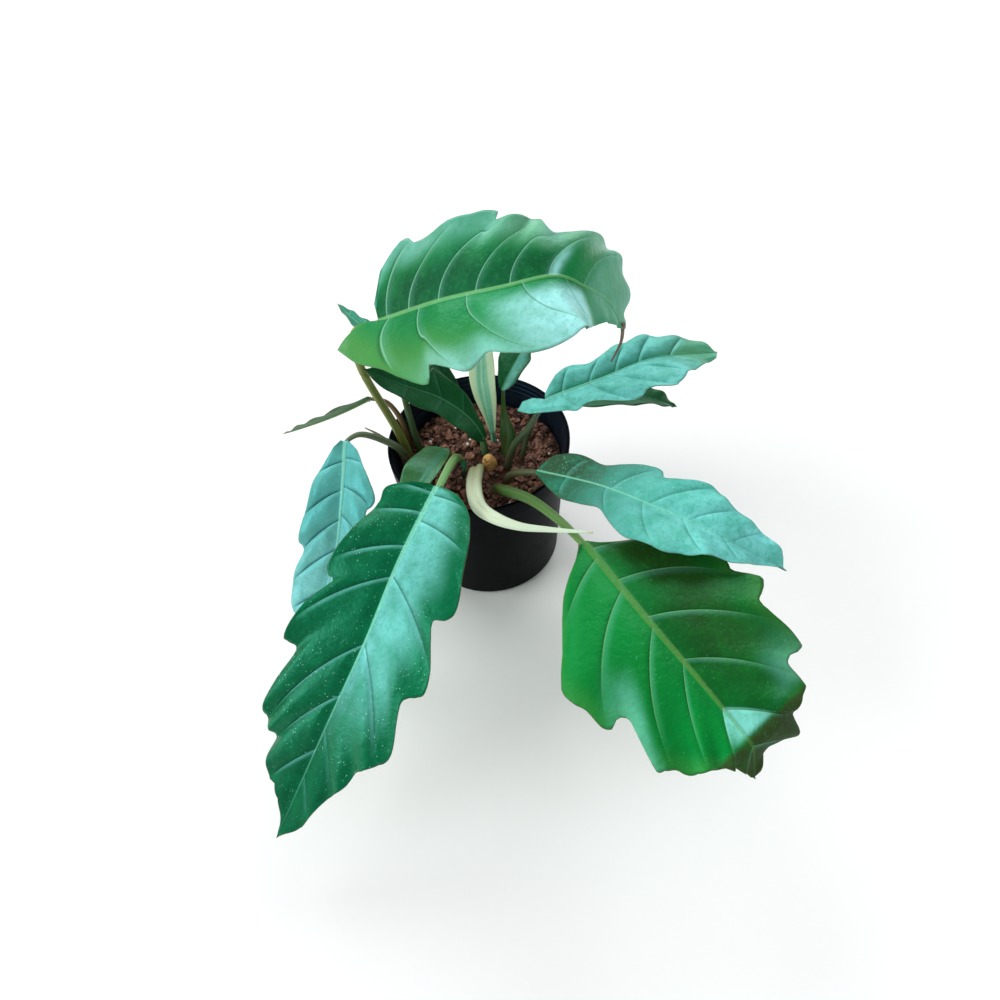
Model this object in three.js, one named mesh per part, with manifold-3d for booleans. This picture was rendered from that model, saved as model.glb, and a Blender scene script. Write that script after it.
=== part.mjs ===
import * as THREE from 'three';
import { mergeVertices } from 'three/addons/utils/BufferGeometryUtils.js';
import Module from 'manifold-3d';

// A philodendron with toothed, arching leaves in a round nursery pot.
// Millimetres, +Z up. The origin is the centre of the pot's base, on the surface it stands on.
// +X runs to the right and -Y towards the side where the two largest leaves hang over the rim.

// Pot
const POT_HEIGHT = 106;
const RIM_RADIUS = 55;
const FOOT_RADIUS = 47;
const WALL = 1.3;
const FLOOR = 2.4;
const RIM_BAND = 13;
const RIM_STEP = 2.6;
const RIDGE_COUNT = 2;
const RIDGE_DEPTH = 0.5;
const POT_SEGMENTS = 36;
const DRAIN_COUNT = 4;
const DRAIN_RADIUS = 4;
const DRAIN_CIRCLE = 33;

// Soil
const SOIL_EDGE_HEIGHT = 85;
const SOIL_MOUND = 4;
const SOIL_ROUGHNESS = 0.9;
const SOIL_RINGS = 4;
const SOIL_SECTORS = 28;
const FIT_GAP = 0.35;
const STEM_FOOT = 80;

// Blades
const BLADE_THICKNESS = 0.8;
const KEEL_HALF_WIDTH = 2.2;
const KEEL_DEPTH = 1.5;
const BLADE_MIDDLE = 0.55;
const STATION_GAP = 0.02;
const STATION_STEP = 0.09;
const FAN_LENGTH = 0.08;
const STALK_SIDES = 8;
const THIN_STALK_SIDES = 6;
const THIN_STALK = 2.2;
const STALK_RINGS_PER_SPAN = 2;
const SMALL_BLADE = 18;

// Each leaf: stalk points from its foot in the soil, spine points from blade base to tip,
// stalk radius at foot and blade, then how the blade is held. Angles are in degrees:
// fold lifts both halves, bend lets them droop outwards, sweep turns the side veins
// towards the tip, curve turns them further as they run out, fan spreads the lobes back.
// right and left hold the margin: place along the spine (0 to 1), reach of the side vein.
const LEAVES = {
  leaf_front_left: {
    stalk: [[-12, 3, STEM_FOOT], [-15, -14, 105]],
    thick: [3.0, 2.4],
    spine: [[-24, -52, 128], [-45, -92, 122], [-65, -125, 104], [-90, -157, 78], [-123, -197, 40]],
    fold: [14, 8, 5],
    bend: [10],
    sweep: [0, 45, 50],
    curve: 20,
    wave: [1.5, 7, 0.1],
    right: [
      [0, 4], [0.01, 12], [0.04, 24], [0.08, 25], [0.16, 32], [0.22, 39], [0.25, 37], [0.27, 33],
      [0.29, 47], [0.33, 59], [0.35, 57], [0.38, 51], [0.4, 52], [0.42, 62], [0.45, 72], [0.5, 67],
      [0.6, 54], [0.66, 44], [0.71, 43], [0.76, 38], [0.81, 31], [0.84, 22], [0.89, 12], [1, 0],
    ],
    left: [
      [0, 3], [0.01, 14], [0.03, 22], [0.05, 27], [0.1, 34], [0.16, 40], [0.21, 46], [0.235, 44],
      [0.26, 38], [0.28, 42], [0.31, 51], [0.34, 55], [0.36, 53], [0.39, 48], [0.41, 47], [0.43, 52],
      [0.45, 60], [0.47, 62], [0.5, 59], [0.56, 52], [0.6, 47], [0.66, 44], [0.72, 37], [0.79, 28],
      [0.85, 22], [0.91, 15], [1, 0],
    ],
  },
  leaf_front_right: {
    stalk: [[6, -20, STEM_FOOT], [12, -44, 108], [25, -63, 122], [37, -87, 134]],
    thick: [3.4, 2.6],
    spine: [[46, -105, 140], [64, -146, 143], [80, -175, 140], [93, -198, 136], [107, -223, 131]],
    foldRight: [5, 5, 0],
    foldLeft: [0],
    bendRight: [10],
    bendLeft: [4],
    sweepRight: [20, 50, 55],
    sweepLeft: [-5, 30, 30],
    curve: 15,
    wave: [1.5, 6, 0.3],
    crease: { at: [95, -202, 135], line: 33, angle: 60, radius: 6 },
    right: [
      [0, 3], [0.02, 10], [0.035, 20], [0.05, 28], [0.07, 35], [0.1, 46], [0.12, 59], [0.15, 60],
      [0.175, 58], [0.21, 58], [0.23, 55], [0.24, 49], [0.265, 46], [0.285, 50], [0.31, 56],
      [0.32, 58], [0.34, 55], [0.38, 50], [0.4, 49], [0.45, 44], [0.53, 35], [0.61, 27],
      [0.72, 19], [0.82, 12], [0.95, 4], [1, 0],
    ],
    left: [
      [0, 2], [0.02, 7], [0.04, 15], [0.06, 27], [0.09, 37], [0.13, 46], [0.16, 51], [0.18, 51],
      [0.195, 61], [0.215, 60], [0.24, 56], [0.27, 51], [0.295, 52], [0.345, 57], [0.39, 57],
      [0.415, 52], [0.43, 47], [0.46, 43], [0.5, 45], [0.53, 45], [0.59, 38], [0.64, 33],
      [0.72, 34], [0.82, 33], [0.84, 24], [0.85, 16], [0.89, 8], [1, 0],
    ],
  },
  leaf_top: {
    stalk: [[-43, 4, STEM_FOOT], [-48, 9, 110], [-61, 21, 150], [-58, 14, 182]],
    thick: [2.9, 2.2],
    spine: [
      [-40, -8, 205], [-8, -26, 226], [19, -35, 236], [42, -34, 238], [56, -30, 228],
      [70, -21, 210], [79, -13, 187],
    ],
    heading: -5,
    roll: -20,
    fold: [10, 5, 0],
    bend: [15],
    sweepRight: [-10, -5, 0, 10, 20, 25, 30],
    sweepLeft: [-10, 0, 5, 15, 25, 35, 50],
    fanRight: -90,
    curve: 50,
    wave: [1.5, 7, 0],
    tail: [[79, -13, 191], [79, -12, 178], [75, -11, 165]],
    right: [
      [0, 14], [0.002, 32], [0.01, 28], [0.03, 26], [0.05, 27], [0.07, 33], [0.1, 38], [0.12, 39],
      [0.13, 36], [0.14, 31], [0.17, 34], [0.21, 38], [0.245, 33], [0.27, 30], [0.3, 33], [0.34, 36],
      [0.39, 34], [0.44, 31], [0.53, 25], [0.62, 20], [0.75, 13], [0.9, 6], [1, 0],
    ],
    left: [
      [0, 8], [0.003, 21], [0.017, 29], [0.03, 36], [0.045, 37], [0.06, 34], [0.1, 35], [0.13, 38],
      [0.17, 40], [0.19, 42], [0.22, 41], [0.235, 36], [0.28, 36], [0.33, 35], [0.41, 30], [0.46, 23],
      [0.49, 25], [0.53, 30], [0.57, 35], [0.615, 39], [0.69, 43], [0.77, 44], [0.84, 38],
      [0.91, 28], [0.96, 14], [1, 0],
    ],
  },
  leaf_far_left: {
    stalk: [[-41, -4, STEM_FOOT], [-46, -3, 104], [-56, -1, 114], [-68, -1, 121]],
    thick: [2.5, 1.9],
    spine: [[-77, -4, 120], [-81, -36, 106], [-90, -60, 82], [-113, -88, 40]],
    fold: [12, 8, 5],
    bend: [10],
    sweep: [0, 35, 45],
    curve: 20,
    wave: [1, 5, 0.2],
    right: [
      [0, 2], [0.03, 6], [0.09, 11], [0.17, 17], [0.25, 21], [0.34, 26], [0.42, 29], [0.46, 27],
      [0.5, 27], [0.56, 31], [0.63, 32], [0.71, 31], [0.8, 25], [0.9, 13], [1, 0],
    ],
    left: [
      [0, 2], [0.05, 8], [0.13, 13], [0.2, 19], [0.25, 23], [0.28, 22], [0.31, 19], [0.37, 22],
      [0.45, 26], [0.5, 23], [0.6, 24], [0.7, 22], [0.85, 12], [1, 0],
    ],
  },
  leaf_right: {
    stalk: [[13, -17, STEM_FOOT], [18, -31, 106]],
    thick: [2.6, 2.0],
    spine: [[31, -42, 120], [60, -71, 138], [83, -97, 149], [106, -115, 149], [137, -128, 132]],
    fold: [12, 8, 5],
    bend: [10],
    sweep: [0, 35, 45],
    curve: 20,
    wave: [1.2, 6, 0.5],
    right: [
      [0, 2], [0.04, 6], [0.09, 12], [0.15, 18], [0.2, 17], [0.25, 17], [0.29, 18], [0.33, 24],
      [0.37, 28], [0.41, 28], [0.45, 29], [0.48, 30], [0.53, 26], [0.56, 25], [0.61, 22], [0.69, 17],
      [0.75, 15], [0.85, 8], [0.93, 3], [1, 0],
    ],
    left: [
      [0, 7], [0.013, 12], [0.07, 14], [0.13, 15], [0.2, 13], [0.24, 15], [0.3, 22], [0.33, 23],
      [0.37, 19], [0.41, 22], [0.44, 27], [0.47, 29], [0.53, 26], [0.61, 22], [0.68, 21],
      [0.77, 17], [0.84, 16], [0.89, 13], [0.93, 8], [1, 0],
    ],
  },
  leaf_upper_right: {
    stalk: [[14, -9, STEM_FOOT], [20, -11, 106], [29, -12, 121]],
    thick: [2.6, 1.9],
    spine: [[40, -8, 140], [71, -7, 150], [102, 2, 152], [142, 12, 142]],
    fold: [12, 8, 5],
    bend: [10],
    sweep: [10, 35, 45],
    fanRight: -120,
    curve: 20,
    wave: [1, 5, 0.4],
    right: [
      [0, 7], [0.004, 13], [0.011, 18], [0.02, 15], [0.035, 12], [0.06, 14], [0.1, 19], [0.17, 18],
      [0.23, 21], [0.285, 28], [0.32, 30], [0.35, 28], [0.38, 29], [0.41, 35], [0.45, 34],
      [0.55, 29], [0.76, 18], [0.92, 8], [1, 0],
    ],
    left: [
      [0, 4], [0.02, 8], [0.055, 13], [0.13, 15], [0.24, 14], [0.31, 16], [0.38, 21], [0.48, 20],
      [0.565, 22], [0.65, 19], [0.755, 18], [0.87, 13], [1, 0],
    ],
  },
  leaf_under_right: {
    stalk: [[24, -4, STEM_FOOT], [30, 0, 104], [38, 4, 118]],
    thick: [1.8, 1.4],
    spine: [[50, 5, 124], [80, 3, 126], [104, 3, 120], [121, 4, 109]],
    fold: [10],
    bend: [10],
    sweep: [10, 40, 45],
    curve: 20,
    wave: [0.8, 4, 0.1],
    right: [[0, 2], [0.08, 7], [0.2, 11], [0.35, 13], [0.45, 11], [0.6, 10], [0.8, 6], [1, 0]],
    left: [[0, 2], [0.08, 8], [0.2, 12], [0.35, 14], [0.5, 12], [0.7, 9], [0.85, 5], [1, 0]],
  },
  leaf_left_slim: {
    stalk: [[-44, 14, STEM_FOOT], [-45, 17, 106], [-52, 24, 119]],
    thick: [2.0, 1.5],
    spine: [[-62, 26, 124], [-80, 24, 117], [-99, 26, 108], [-125, 32, 95]],
    roll: -45,
    fold: [8],
    bend: [8],
    sweep: [10, 40, 45],
    curve: 20,
    wave: [0.6, 4, 0.1],
    right: [[0, 2], [0.08, 7], [0.2, 11], [0.35, 13], [0.45, 11], [0.6, 12], [0.8, 7], [1, 0]],
    left: [[0, 2], [0.08, 7], [0.2, 11], [0.3, 13], [0.4, 11], [0.55, 12], [0.75, 8], [1, 0]],
  },
  leaf_back_left: {
    stalk: [[-37, 10, STEM_FOOT], [-40, 17, 104], [-43, 31, 126]],
    thick: [2.6, 1.8],
    spine: [[-45, 42, 141], [-57, 55, 147], [-69, 70, 150], [-79, 87, 149]],
    roll: -25,
    fold: [10],
    bend: [10],
    sweep: [10, 40, 45],
    curve: 20,
    wave: [0.4, 4, 0.6],
    right: [[0, 2], [0.08, 5], [0.25, 8], [0.45, 9], [0.55, 7], [0.7, 6], [0.85, 3], [1, 0]],
    left: [[0, 2], [0.08, 5], [0.2, 8], [0.4, 9], [0.5, 7], [0.7, 5], [0.85, 3], [1, 0]],
  },
  leaf_folded: {
    stalk: [[3, 2, STEM_FOOT]],
    thick: [2.6, 2.0],
    spine: [[4, 2, 101], [-4, 8, 115], [-19, 11, 131], [-39, 7, 149], [-57, 4, 166]],
    foldRight: [25],
    foldLeft: [-10],
    bend: [5],
    sweepRight: [20, 45, 50],
    sweepLeft: [0, 20, 25],
    curve: 10,
    wave: [0.6, 4, 0.1],
    right: [[0, 2], [0.08, 5], [0.2, 9], [0.35, 15], [0.48, 19], [0.52, 15], [0.7, 13], [0.85, 8], [1, 0]],
    left: [[0, 2], [0.06, 8], [0.15, 12], [0.3, 13], [0.6, 12], [0.8, 8], [0.92, 4], [1, 0]],
  },
  leaf_young: {
    stalk: [[9, 11, STEM_FOOT]],
    thick: [1.8, 1.6],
    spine: [[9, 9, 98], [8, 9, 121], [7, 10, 142], [8, 13, 162], [9, 20, 180]],
    fold: [6],
    bend: [10],
    sweep: [30, 45, 45],
    curve: 10,
    wave: [0.3, 3, 0.1],
    right: [[0, 2], [0.15, 5], [0.3, 8], [0.5, 10], [0.7, 8], [0.9, 4], [1, 0]],
    left: [[0, 2], [0.15, 5], [0.3, 9], [0.5, 11], [0.7, 8], [0.9, 4], [1, 0]],
  },
  leaf_rear: {
    stalk: [[16, 1, STEM_FOOT], [18, 4, 98], [17, 12, 112]],
    thick: [4.6, 1.6],
    spine: [[17, 15, 128], [22, 17, 138], [29, 20, 149], [41, 27, 166]],
    fold: [14],
    bend: [8],
    sweep: [20, 40, 45],
    curve: 15,
    wave: [0.6, 3, 0.1],
    right: [[0, 2], [0.1, 8], [0.3, 14], [0.5, 17], [0.6, 14], [0.8, 9], [1, 0]],
    left: [[0, 2], [0.1, 8], [0.3, 13], [0.5, 15], [0.7, 11], [0.85, 6], [1, 0]],
  },
  leaf_behind: {
    stalk: [[-5, 19, STEM_FOOT]],
    thick: [1.8, 1.4],
    spine: [[-7, 26, 102], [-14, 31, 120], [-22, 37, 138], [-29, 45, 150]],
    fold: [10],
    bend: [8],
    sweep: [20, 40, 45],
    curve: 10,
    wave: [0.5, 3, 0.5],
    right: [[0, 2], [0.15, 5], [0.35, 8], [0.55, 9], [0.75, 7], [1, 0]],
    left: [[0, 2], [0.15, 6], [0.35, 9], [0.55, 9], [0.75, 7], [1, 0]],
  },
  leaf_short: {
    stalk: [[-20, 7, STEM_FOOT]],
    thick: [2.4, 2.0],
    spine: [[-20, -1, 100], [-26, -20, 111], [-35, -36, 112], [-48, -50, 101]],
    fold: [8],
    bend: [10],
    sweep: [0, 35, 45],
    curve: 20,
    wave: [0.6, 3, 0.1],
    right: [[0, 2], [0.08, 10], [0.2, 13], [0.4, 16], [0.6, 14], [0.8, 9], [1, 0]],
    left: [[0, 2], [0.1, 4], [0.25, 6], [0.4, 7], [0.6, 7], [0.8, 5], [1, 0]],
  },
  leaf_tiny: {
    stalk: [[-10, -14, STEM_FOOT]],
    thick: [1.2, 1.0],
    spine: [[-9.8, -13.5, 92], [-10.3, -13, 96], [-12, -12.5, 99]],
    fold: [8],
    bend: [10],
    sweep: [30, 45, 45],
    curve: 10,
    wave: [0, 3, 0.1],
    right: [[0, 1.5], [0.3, 3.5], [0.6, 3], [1, 0]],
    left: [[0, 1.5], [0.3, 3.5], [0.6, 3], [1, 0]],
  },
};

// The curved sheath left by the newest leaf, a dry strand and the stub of an old leaf stalk
const CATAPHYLL = {
  path: [
    [-4, -13, STEM_FOOT], [-3, -16, 96], [-5, -38, 108], [-3, -60, 118], [5, -75, 126],
    [17, -87, 133], [31, -95, 139], [42, -101, 144], [50, -105, 147],
  ],
  radii: [3.4, 4.2, 4.2, 4.0, 3.5, 2.4, 1.6, 1.0, 0.4],
  sides: 8,
};
const STRAND = {
  path: [[-47, 0.5, STEM_FOOT], [-49.8, 1, 103], [-57, 3, 113], [-66, 6, 119]],
  radii: [0.9, 0.9, 0.8, 0.4],
  sides: 6,
};
const STUB = {
  path: [[5, -8, STEM_FOOT], [5, -8, 90], [4.6, -8.4, 94.5], [4.2, -8.8, 97]],
  radii: [4.0, 4.2, 3.8, 1.8],
  sides: 10,
};
const TAIL_RADII = [1.1, 0.8, 0.5];

const COLOURS = {
  pot: 0x121617,
  soil: 0x5a3527,
  cataphyll: 0xc1d4c1,
  strand: 0x8a6f5c,
  stub: 0xb98745,
  leaf: 0x0b6b3c,
};

const wasm = await Module();
wasm.setup();

const radians = THREE.MathUtils.degToRad;
const point = (values) => new THREE.Vector3(...values);

// Smooth curve through a list of numbers spread evenly from 0 to 1
function along(values, t) {
  const spans = values.length - 1;
  if (spans === 0) return values[0];
  const place = THREE.MathUtils.clamp(t, 0, 1) * spans;
  const i = Math.min(Math.floor(place), spans - 1);
  const b = values[i];
  const c = values[i + 1];
  const a = i > 0 ? values[i - 1] : 2 * b - c;
  const d = i < spans - 1 ? values[i + 2] : 2 * c - b;
  return catmullRom(a, b, c, d, place - i);
}

function catmullRom(a, b, c, d, q) {
  const linear = (c - a) * q;
  const square = (2 * a - 5 * b + 4 * c - d) * q * q;
  const cube = (3 * b - 3 * c + d - a) * q * q * q;
  return 0.5 * (2 * b + linear + square + cube);
}

function curveThrough(points) {
  return new THREE.CatmullRomCurve3(points.map(point), false, 'catmullrom', 0.5);
}

// Reach of the margin at a place along the spine
function reach(margin, t) {
  const last = margin.length - 2;
  let i = 0;
  while (i < last && margin[i + 1][0] <= t) i += 1;
  const [t0, b] = margin[i];
  const [t1, c] = margin[i + 1];
  const q = (Math.min(t, t1) - t0) / (t1 - t0);
  const a = i > 0 ? margin[i - 1][1] : 2 * b - c;
  const d = i < last ? margin[i + 2][1] : 0;
  return catmullRom(a, b, c, d, q);
}

// Right-handed frame of the spine: forward along it, right across it, up out of the blade
function spineFrame(leaf, spine, t) {
  const ends = [leaf.spine[0], leaf.spine[leaf.spine.length - 1]];
  const heading = leaf.heading === undefined
    ? Math.atan2(ends[1][1] - ends[0][1], ends[1][0] - ends[0][0])
    : radians(leaf.heading);
  const step = 1e-3;
  const before = spine.getPoint(Math.max(t - step, 0));
  const forward = spine.getPoint(Math.min(t + step, 1)).sub(before).normalize();
  const right = new THREE.Vector3(Math.sin(heading), -Math.cos(heading), 0);
  right.addScaledVector(forward, -right.dot(forward)).normalize();
  const roll = radians(leaf.roll || 0);
  right.applyAxisAngle(forward, -roll);
  const up = new THREE.Vector3().crossVectors(right, forward);
  return { middle: spine.getPoint(t), forward, right, up };
}

// Bends what lies beyond a level crease line down in a round arc
function creased(leaf, place) {
  if (!leaf.crease) return place;
  const { at, line, angle, radius } = leaf.crease;
  const origin = point(at);
  const turn = radians(line);
  const alongLine = new THREE.Vector3(Math.cos(turn), Math.sin(turn), 0);
  const beyond = new THREE.Vector3(Math.sin(turn), -Math.cos(turn), 0);
  const offset = place.clone().sub(origin);
  const distance = offset.dot(beyond);
  if (distance <= 0) return place;
  const most = radians(angle);
  const bent = Math.min(distance / radius, most);
  const straight = Math.max(distance - radius * most, 0);
  const height = offset.z;
  const out = radius * Math.sin(bent) + straight * Math.cos(most) + height * Math.sin(bent);
  const down = radius * (1 - Math.cos(bent)) + straight * Math.sin(most) - height * Math.cos(bent);
  return origin
    .addScaledVector(alongLine, offset.dot(alongLine))
    .addScaledVector(beyond, out)
    .setZ(origin.z - down);
}

// Point of the blade: side is 1 for the right half and -1 for the left, distance is from the midrib
function bladePoint(leaf, spine, t, side, distance, edge) {
  const { middle, forward, right, up } = spineFrame(leaf, spine, t);
  const pick = (name) => leaf[name + (side > 0 ? 'Right' : 'Left')] ?? leaf[name];
  const fan = (pick('fan') || 0) * Math.max(1 - t / FAN_LENGTH, 0) ** 2;
  const sweep = radians(along(pick('sweep'), t) + leaf.curve * distance / 100 + fan);
  const lift = radians(along(pick('fold'), t) - along(pick('bend'), t) * distance / 80);
  const [size, count, phase] = leaf.wave;
  const shift = side < 0 ? 0.25 : 0;
  const share = Math.min(distance / Math.max(edge, 1), 1.5);
  const wave = size * Math.sin(2 * Math.PI * (count * t + phase + shift)) * share * share;
  const place = middle.clone()
    .addScaledVector(right, side * Math.cos(sweep) * distance * Math.cos(lift))
    .addScaledVector(forward, Math.sin(sweep) * distance * Math.cos(lift))
    .addScaledVector(up, distance * Math.sin(lift) + wave);
  return creased(leaf, place);
}

// Places along the spine where the blade has a row of points: every margin point and evenly between
function stations(leaf) {
  const wanted = [...leaf.right, ...leaf.left].map(([t]) => t).sort((a, b) => a - b);
  const chosen = [0];
  for (const t of wanted) {
    const last = chosen[chosen.length - 1];
    const close = t < 0.06 ? STATION_GAP / 4 : STATION_GAP;
    if (t - last < close || t > 0.99) continue;
    const parts = Math.ceil((t - last) / STATION_STEP);
    for (let k = 1; k <= parts; k += 1) chosen.push(last + ((t - last) * k) / parts);
  }
  return chosen;
}

// Top face of the blade as rows of points, with one tip point closing it
function bladeTop(leaf, spine) {
  const widest = Math.max(...leaf.right.concat(leaf.left).map(([, far]) => far));
  const rows = stations(leaf).map((t) => {
    const half = (side) => {
      const edge = Math.max(reach(side > 0 ? leaf.right : leaf.left, t), 1.5);
      const keel = Math.min(KEEL_HALF_WIDTH, 0.3 * edge);
      const middle = Math.max(BLADE_MIDDLE * edge, keel + 0.3 * edge);
      const steps = widest > SMALL_BLADE ? [keel, middle, edge] : [middle, edge];
      return steps.map((distance) => bladePoint(leaf, spine, t, side, distance, edge));
    };
    const middle = bladePoint(leaf, spine, t, 1, 0, 10);
    return [...half(-1).reverse(), middle, ...half(1)];
  });
  const tip = bladePoint(leaf, spine, 1, 1, 0, 10);
  return { rows, tip };
}

// Closed blade: top and bottom faces split alike, joined round the margin
function bladeGeometry(leaf, spine) {
  const { rows, tip } = bladeTop(leaf, spine);
  const width = rows[0].length;
  const keelColumn = (width - 1) / 2;
  const top = [...rows.flat(), tip];
  const tipIndex = top.length - 1;
  const faces = [];
  for (let i = 0; i < rows.length - 1; i += 1) {
    for (let j = 0; j < width - 1; j += 1) {
      const a = i * width + j;
      const b = a + 1;
      const c = a + width;
      const d = c + 1;
      if (j < keelColumn) faces.push([a, b, c], [b, d, c]);
      else faces.push([a, b, d], [a, d, c]);
    }
  }
  const lastRow = (rows.length - 1) * width;
  for (let j = 0; j < width - 1; j += 1) faces.push([lastRow + j, lastRow + j + 1, tipIndex]);

  const sheet = new THREE.BufferGeometry().setFromPoints(top);
  sheet.setIndex(faces.flat());
  sheet.computeVertexNormals();
  const normals = sheet.getAttribute('normal');
  const bottom = top.map((place, index) => {
    const row = Math.floor(index / width);
    const onKeel = index !== tipIndex && index % width === keelColumn;
    const keel = onKeel ? KEEL_DEPTH * (1 - row / rows.length) : 0;
    const normal = new THREE.Vector3().fromBufferAttribute(normals, index);
    return place.clone().addScaledVector(normal, -BLADE_THICKNESS - keel);
  });

  const rim = [];
  for (let j = 0; j < width; j += 1) rim.push(j);
  for (let i = 1; i < rows.length; i += 1) rim.push(i * width + width - 1);
  rim.push(tipIndex);
  for (let i = rows.length - 1; i > 0; i -= 1) rim.push(i * width);
  const count = top.length;
  const triangles = faces.flatMap(([a, b, c]) => [a, b, c, a + count, c + count, b + count]);
  rim.forEach((a, k) => {
    const b = rim[(k + 1) % rim.length];
    triangles.push(b, a, b + count, a, a + count, b + count);
  });
  const solid = new THREE.BufferGeometry().setFromPoints([...top, ...bottom]);
  solid.setIndex(triangles);
  return solid;
}

// Closed round rod along a path, its radius following a list of values;
// grow widens it and sets its foot lower, for the hole that it stands in
function rodGeometry({ path: points, radii, sides = STALK_SIDES }, grow = 0) {
  const path = curveThrough(points);
  const rings = (points.length - 1) * STALK_RINGS_PER_SPAN;
  const places = [];
  const across = new THREE.Vector3(1, 0, 0);
  for (let i = 0; i <= rings; i += 1) {
    const t = i / rings;
    const forward = path.getTangent(t);
    const centre = path.getPoint(t);
    if (i === 0) centre.addScaledVector(forward, -grow);
    across.addScaledVector(forward, -across.dot(forward)).normalize();
    const other = new THREE.Vector3().crossVectors(forward, across);
    const radius = along(radii, t) + grow;
    for (let k = 0; k < sides; k += 1) {
      const angle = (2 * Math.PI * k) / sides;
      places.push(centre.clone()
        .addScaledVector(across, radius * Math.cos(angle))
        .addScaledVector(other, radius * Math.sin(angle)));
    }
  }
  const triangles = [];
  for (let i = 0; i < rings; i += 1) {
    for (let k = 0; k < sides; k += 1) {
      const a = i * sides + k;
      const b = i * sides + ((k + 1) % sides);
      triangles.push(a, b, a + sides, b, b + sides, a + sides);
    }
  }
  const foot = places.length;
  places.push(path.getPoint(0).addScaledVector(path.getTangent(0), -grow), path.getPoint(1));
  for (let k = 0; k < sides; k += 1) {
    const next = (k + 1) % sides;
    triangles.push(foot, next, k, foot + 1, rings * sides + k, rings * sides + next);
  }
  const solid = new THREE.BufferGeometry().setFromPoints(places);
  solid.setIndex(triangles);
  return solid;
}

function toSolid(geometry) {
  const bare = geometry.clone();
  bare.deleteAttribute('normal');
  bare.deleteAttribute('uv');
  const merged = mergeVertices(bare, 1e-4);
  return new wasm.Manifold(new wasm.Mesh({
    numProp: 3,
    vertProperties: new Float32Array(merged.getAttribute('position').array),
    triVerts: new Uint32Array(merged.getIndex().array),
  }));
}

function toGeometry(solid) {
  const mesh = solid.getMesh();
  const geometry = new THREE.BufferGeometry();
  geometry.setAttribute('position', new THREE.Float32BufferAttribute(mesh.vertProperties, 3));
  geometry.setIndex(Array.from(mesh.triVerts));
  geometry.computeVertexNormals();
  return geometry;
}

// The stalk runs on a little way under the midrib, so that blade and stalk are one body
function stalkRod(leaf) {
  const spine = curveThrough(leaf.spine);
  const { middle, up } = spineFrame(leaf, spine, 0);
  const under = (t) => spineFrame(leaf, spine, t).middle.addScaledVector(up, -1.4).toArray();
  const joint = middle.addScaledVector(up, -0.9).toArray();
  const [foot, neck] = leaf.thick;
  const sides = foot > THIN_STALK ? STALK_SIDES : THIN_STALK_SIDES;
  return { path: [...leaf.stalk, joint, under(0.1)], radii: [foot, neck, 0.45 * neck], sides };
}

function leafSolid(leaf) {
  const spine = curveThrough(leaf.spine);
  let solid = toSolid(bladeGeometry(leaf, spine)).add(toSolid(rodGeometry(stalkRod(leaf))));
  if (leaf.tail) solid = solid.add(toSolid(rodGeometry({ path: leaf.tail, radii: TAIL_RADII, sides: 6 })));
  return solid;
}

// Pot profile from the centre of the base, up the outside, over the rim and down the inside
function potSolid() {
  const bandFoot = POT_HEIGHT - RIM_BAND;
  const shoulder = RIM_RADIUS - RIM_STEP;
  const inner = RIM_RADIUS - WALL - 0.6;
  const profile = [
    [0, 0], [FOOT_RADIUS - 2, 0], [FOOT_RADIUS, 2], [shoulder - 0.3, bandFoot - 1.5],
    [RIM_RADIUS - 0.4, bandFoot], [RIM_RADIUS, POT_HEIGHT - 1.6], [RIM_RADIUS - 0.5, POT_HEIGHT - 0.4],
    [RIM_RADIUS - 1.1, POT_HEIGHT], [inner + 0.2, POT_HEIGHT - 0.4], [inner, POT_HEIGHT - 1.6],
  ];
  const ridgeStep = (RIM_BAND - 4) / RIDGE_COUNT;
  for (let k = 0; k < RIDGE_COUNT; k += 1) {
    const top = POT_HEIGHT - 2.2 - k * ridgeStep;
    profile.push([inner, top], [inner - RIDGE_DEPTH, top - 0.35 * ridgeStep], [inner, top - 0.7 * ridgeStep]);
  }
  profile.push(
    [inner, bandFoot + 0.8], [shoulder - WALL, bandFoot - 0.4],
    [FOOT_RADIUS - WALL - 0.2, FLOOR + 1.5], [FOOT_RADIUS - WALL - 1.8, FLOOR], [0, FLOOR],
  );
  const shell = new THREE.LatheGeometry(profile.map(([r, z]) => new THREE.Vector2(r, z)), POT_SEGMENTS);
  shell.rotateX(Math.PI / 2);
  let solid = toSolid(shell);
  for (let k = 0; k < DRAIN_COUNT; k += 1) {
    const angle = (2 * Math.PI * (k + 0.5)) / DRAIN_COUNT;
    const drain = new THREE.CylinderGeometry(DRAIN_RADIUS, DRAIN_RADIUS, 4 * FLOOR, 8);
    drain.rotateX(Math.PI / 2);
    drain.translate(DRAIN_CIRCLE * Math.cos(angle), DRAIN_CIRCLE * Math.sin(angle), 0);
    solid = solid.subtract(toSolid(drain));
  }
  return solid;
}

// Inner radius of the pot wall at a height below the rim band
function innerRadius(height) {
  const low = FOOT_RADIUS - WALL - 0.2;
  const high = RIM_RADIUS - RIM_STEP - WALL;
  return low + ((high - low) * (height - FLOOR)) / (POT_HEIGHT - RIM_BAND - FLOOR);
}

function soilHeight(x, y) {
  const share = Math.min(Math.hypot(x, y) / innerRadius(SOIL_EDGE_HEIGHT), 1);
  const mound = SOIL_MOUND * (1 - share * share);
  const lumps = Math.sin(0.31 * x + 1.3) * Math.cos(0.27 * y) + 0.6 * Math.sin(0.53 * y - 0.4 * x);
  return SOIL_EDGE_HEIGHT + mound + SOIL_ROUGHNESS * lumps * (1 - 0.5 * share);
}

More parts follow.
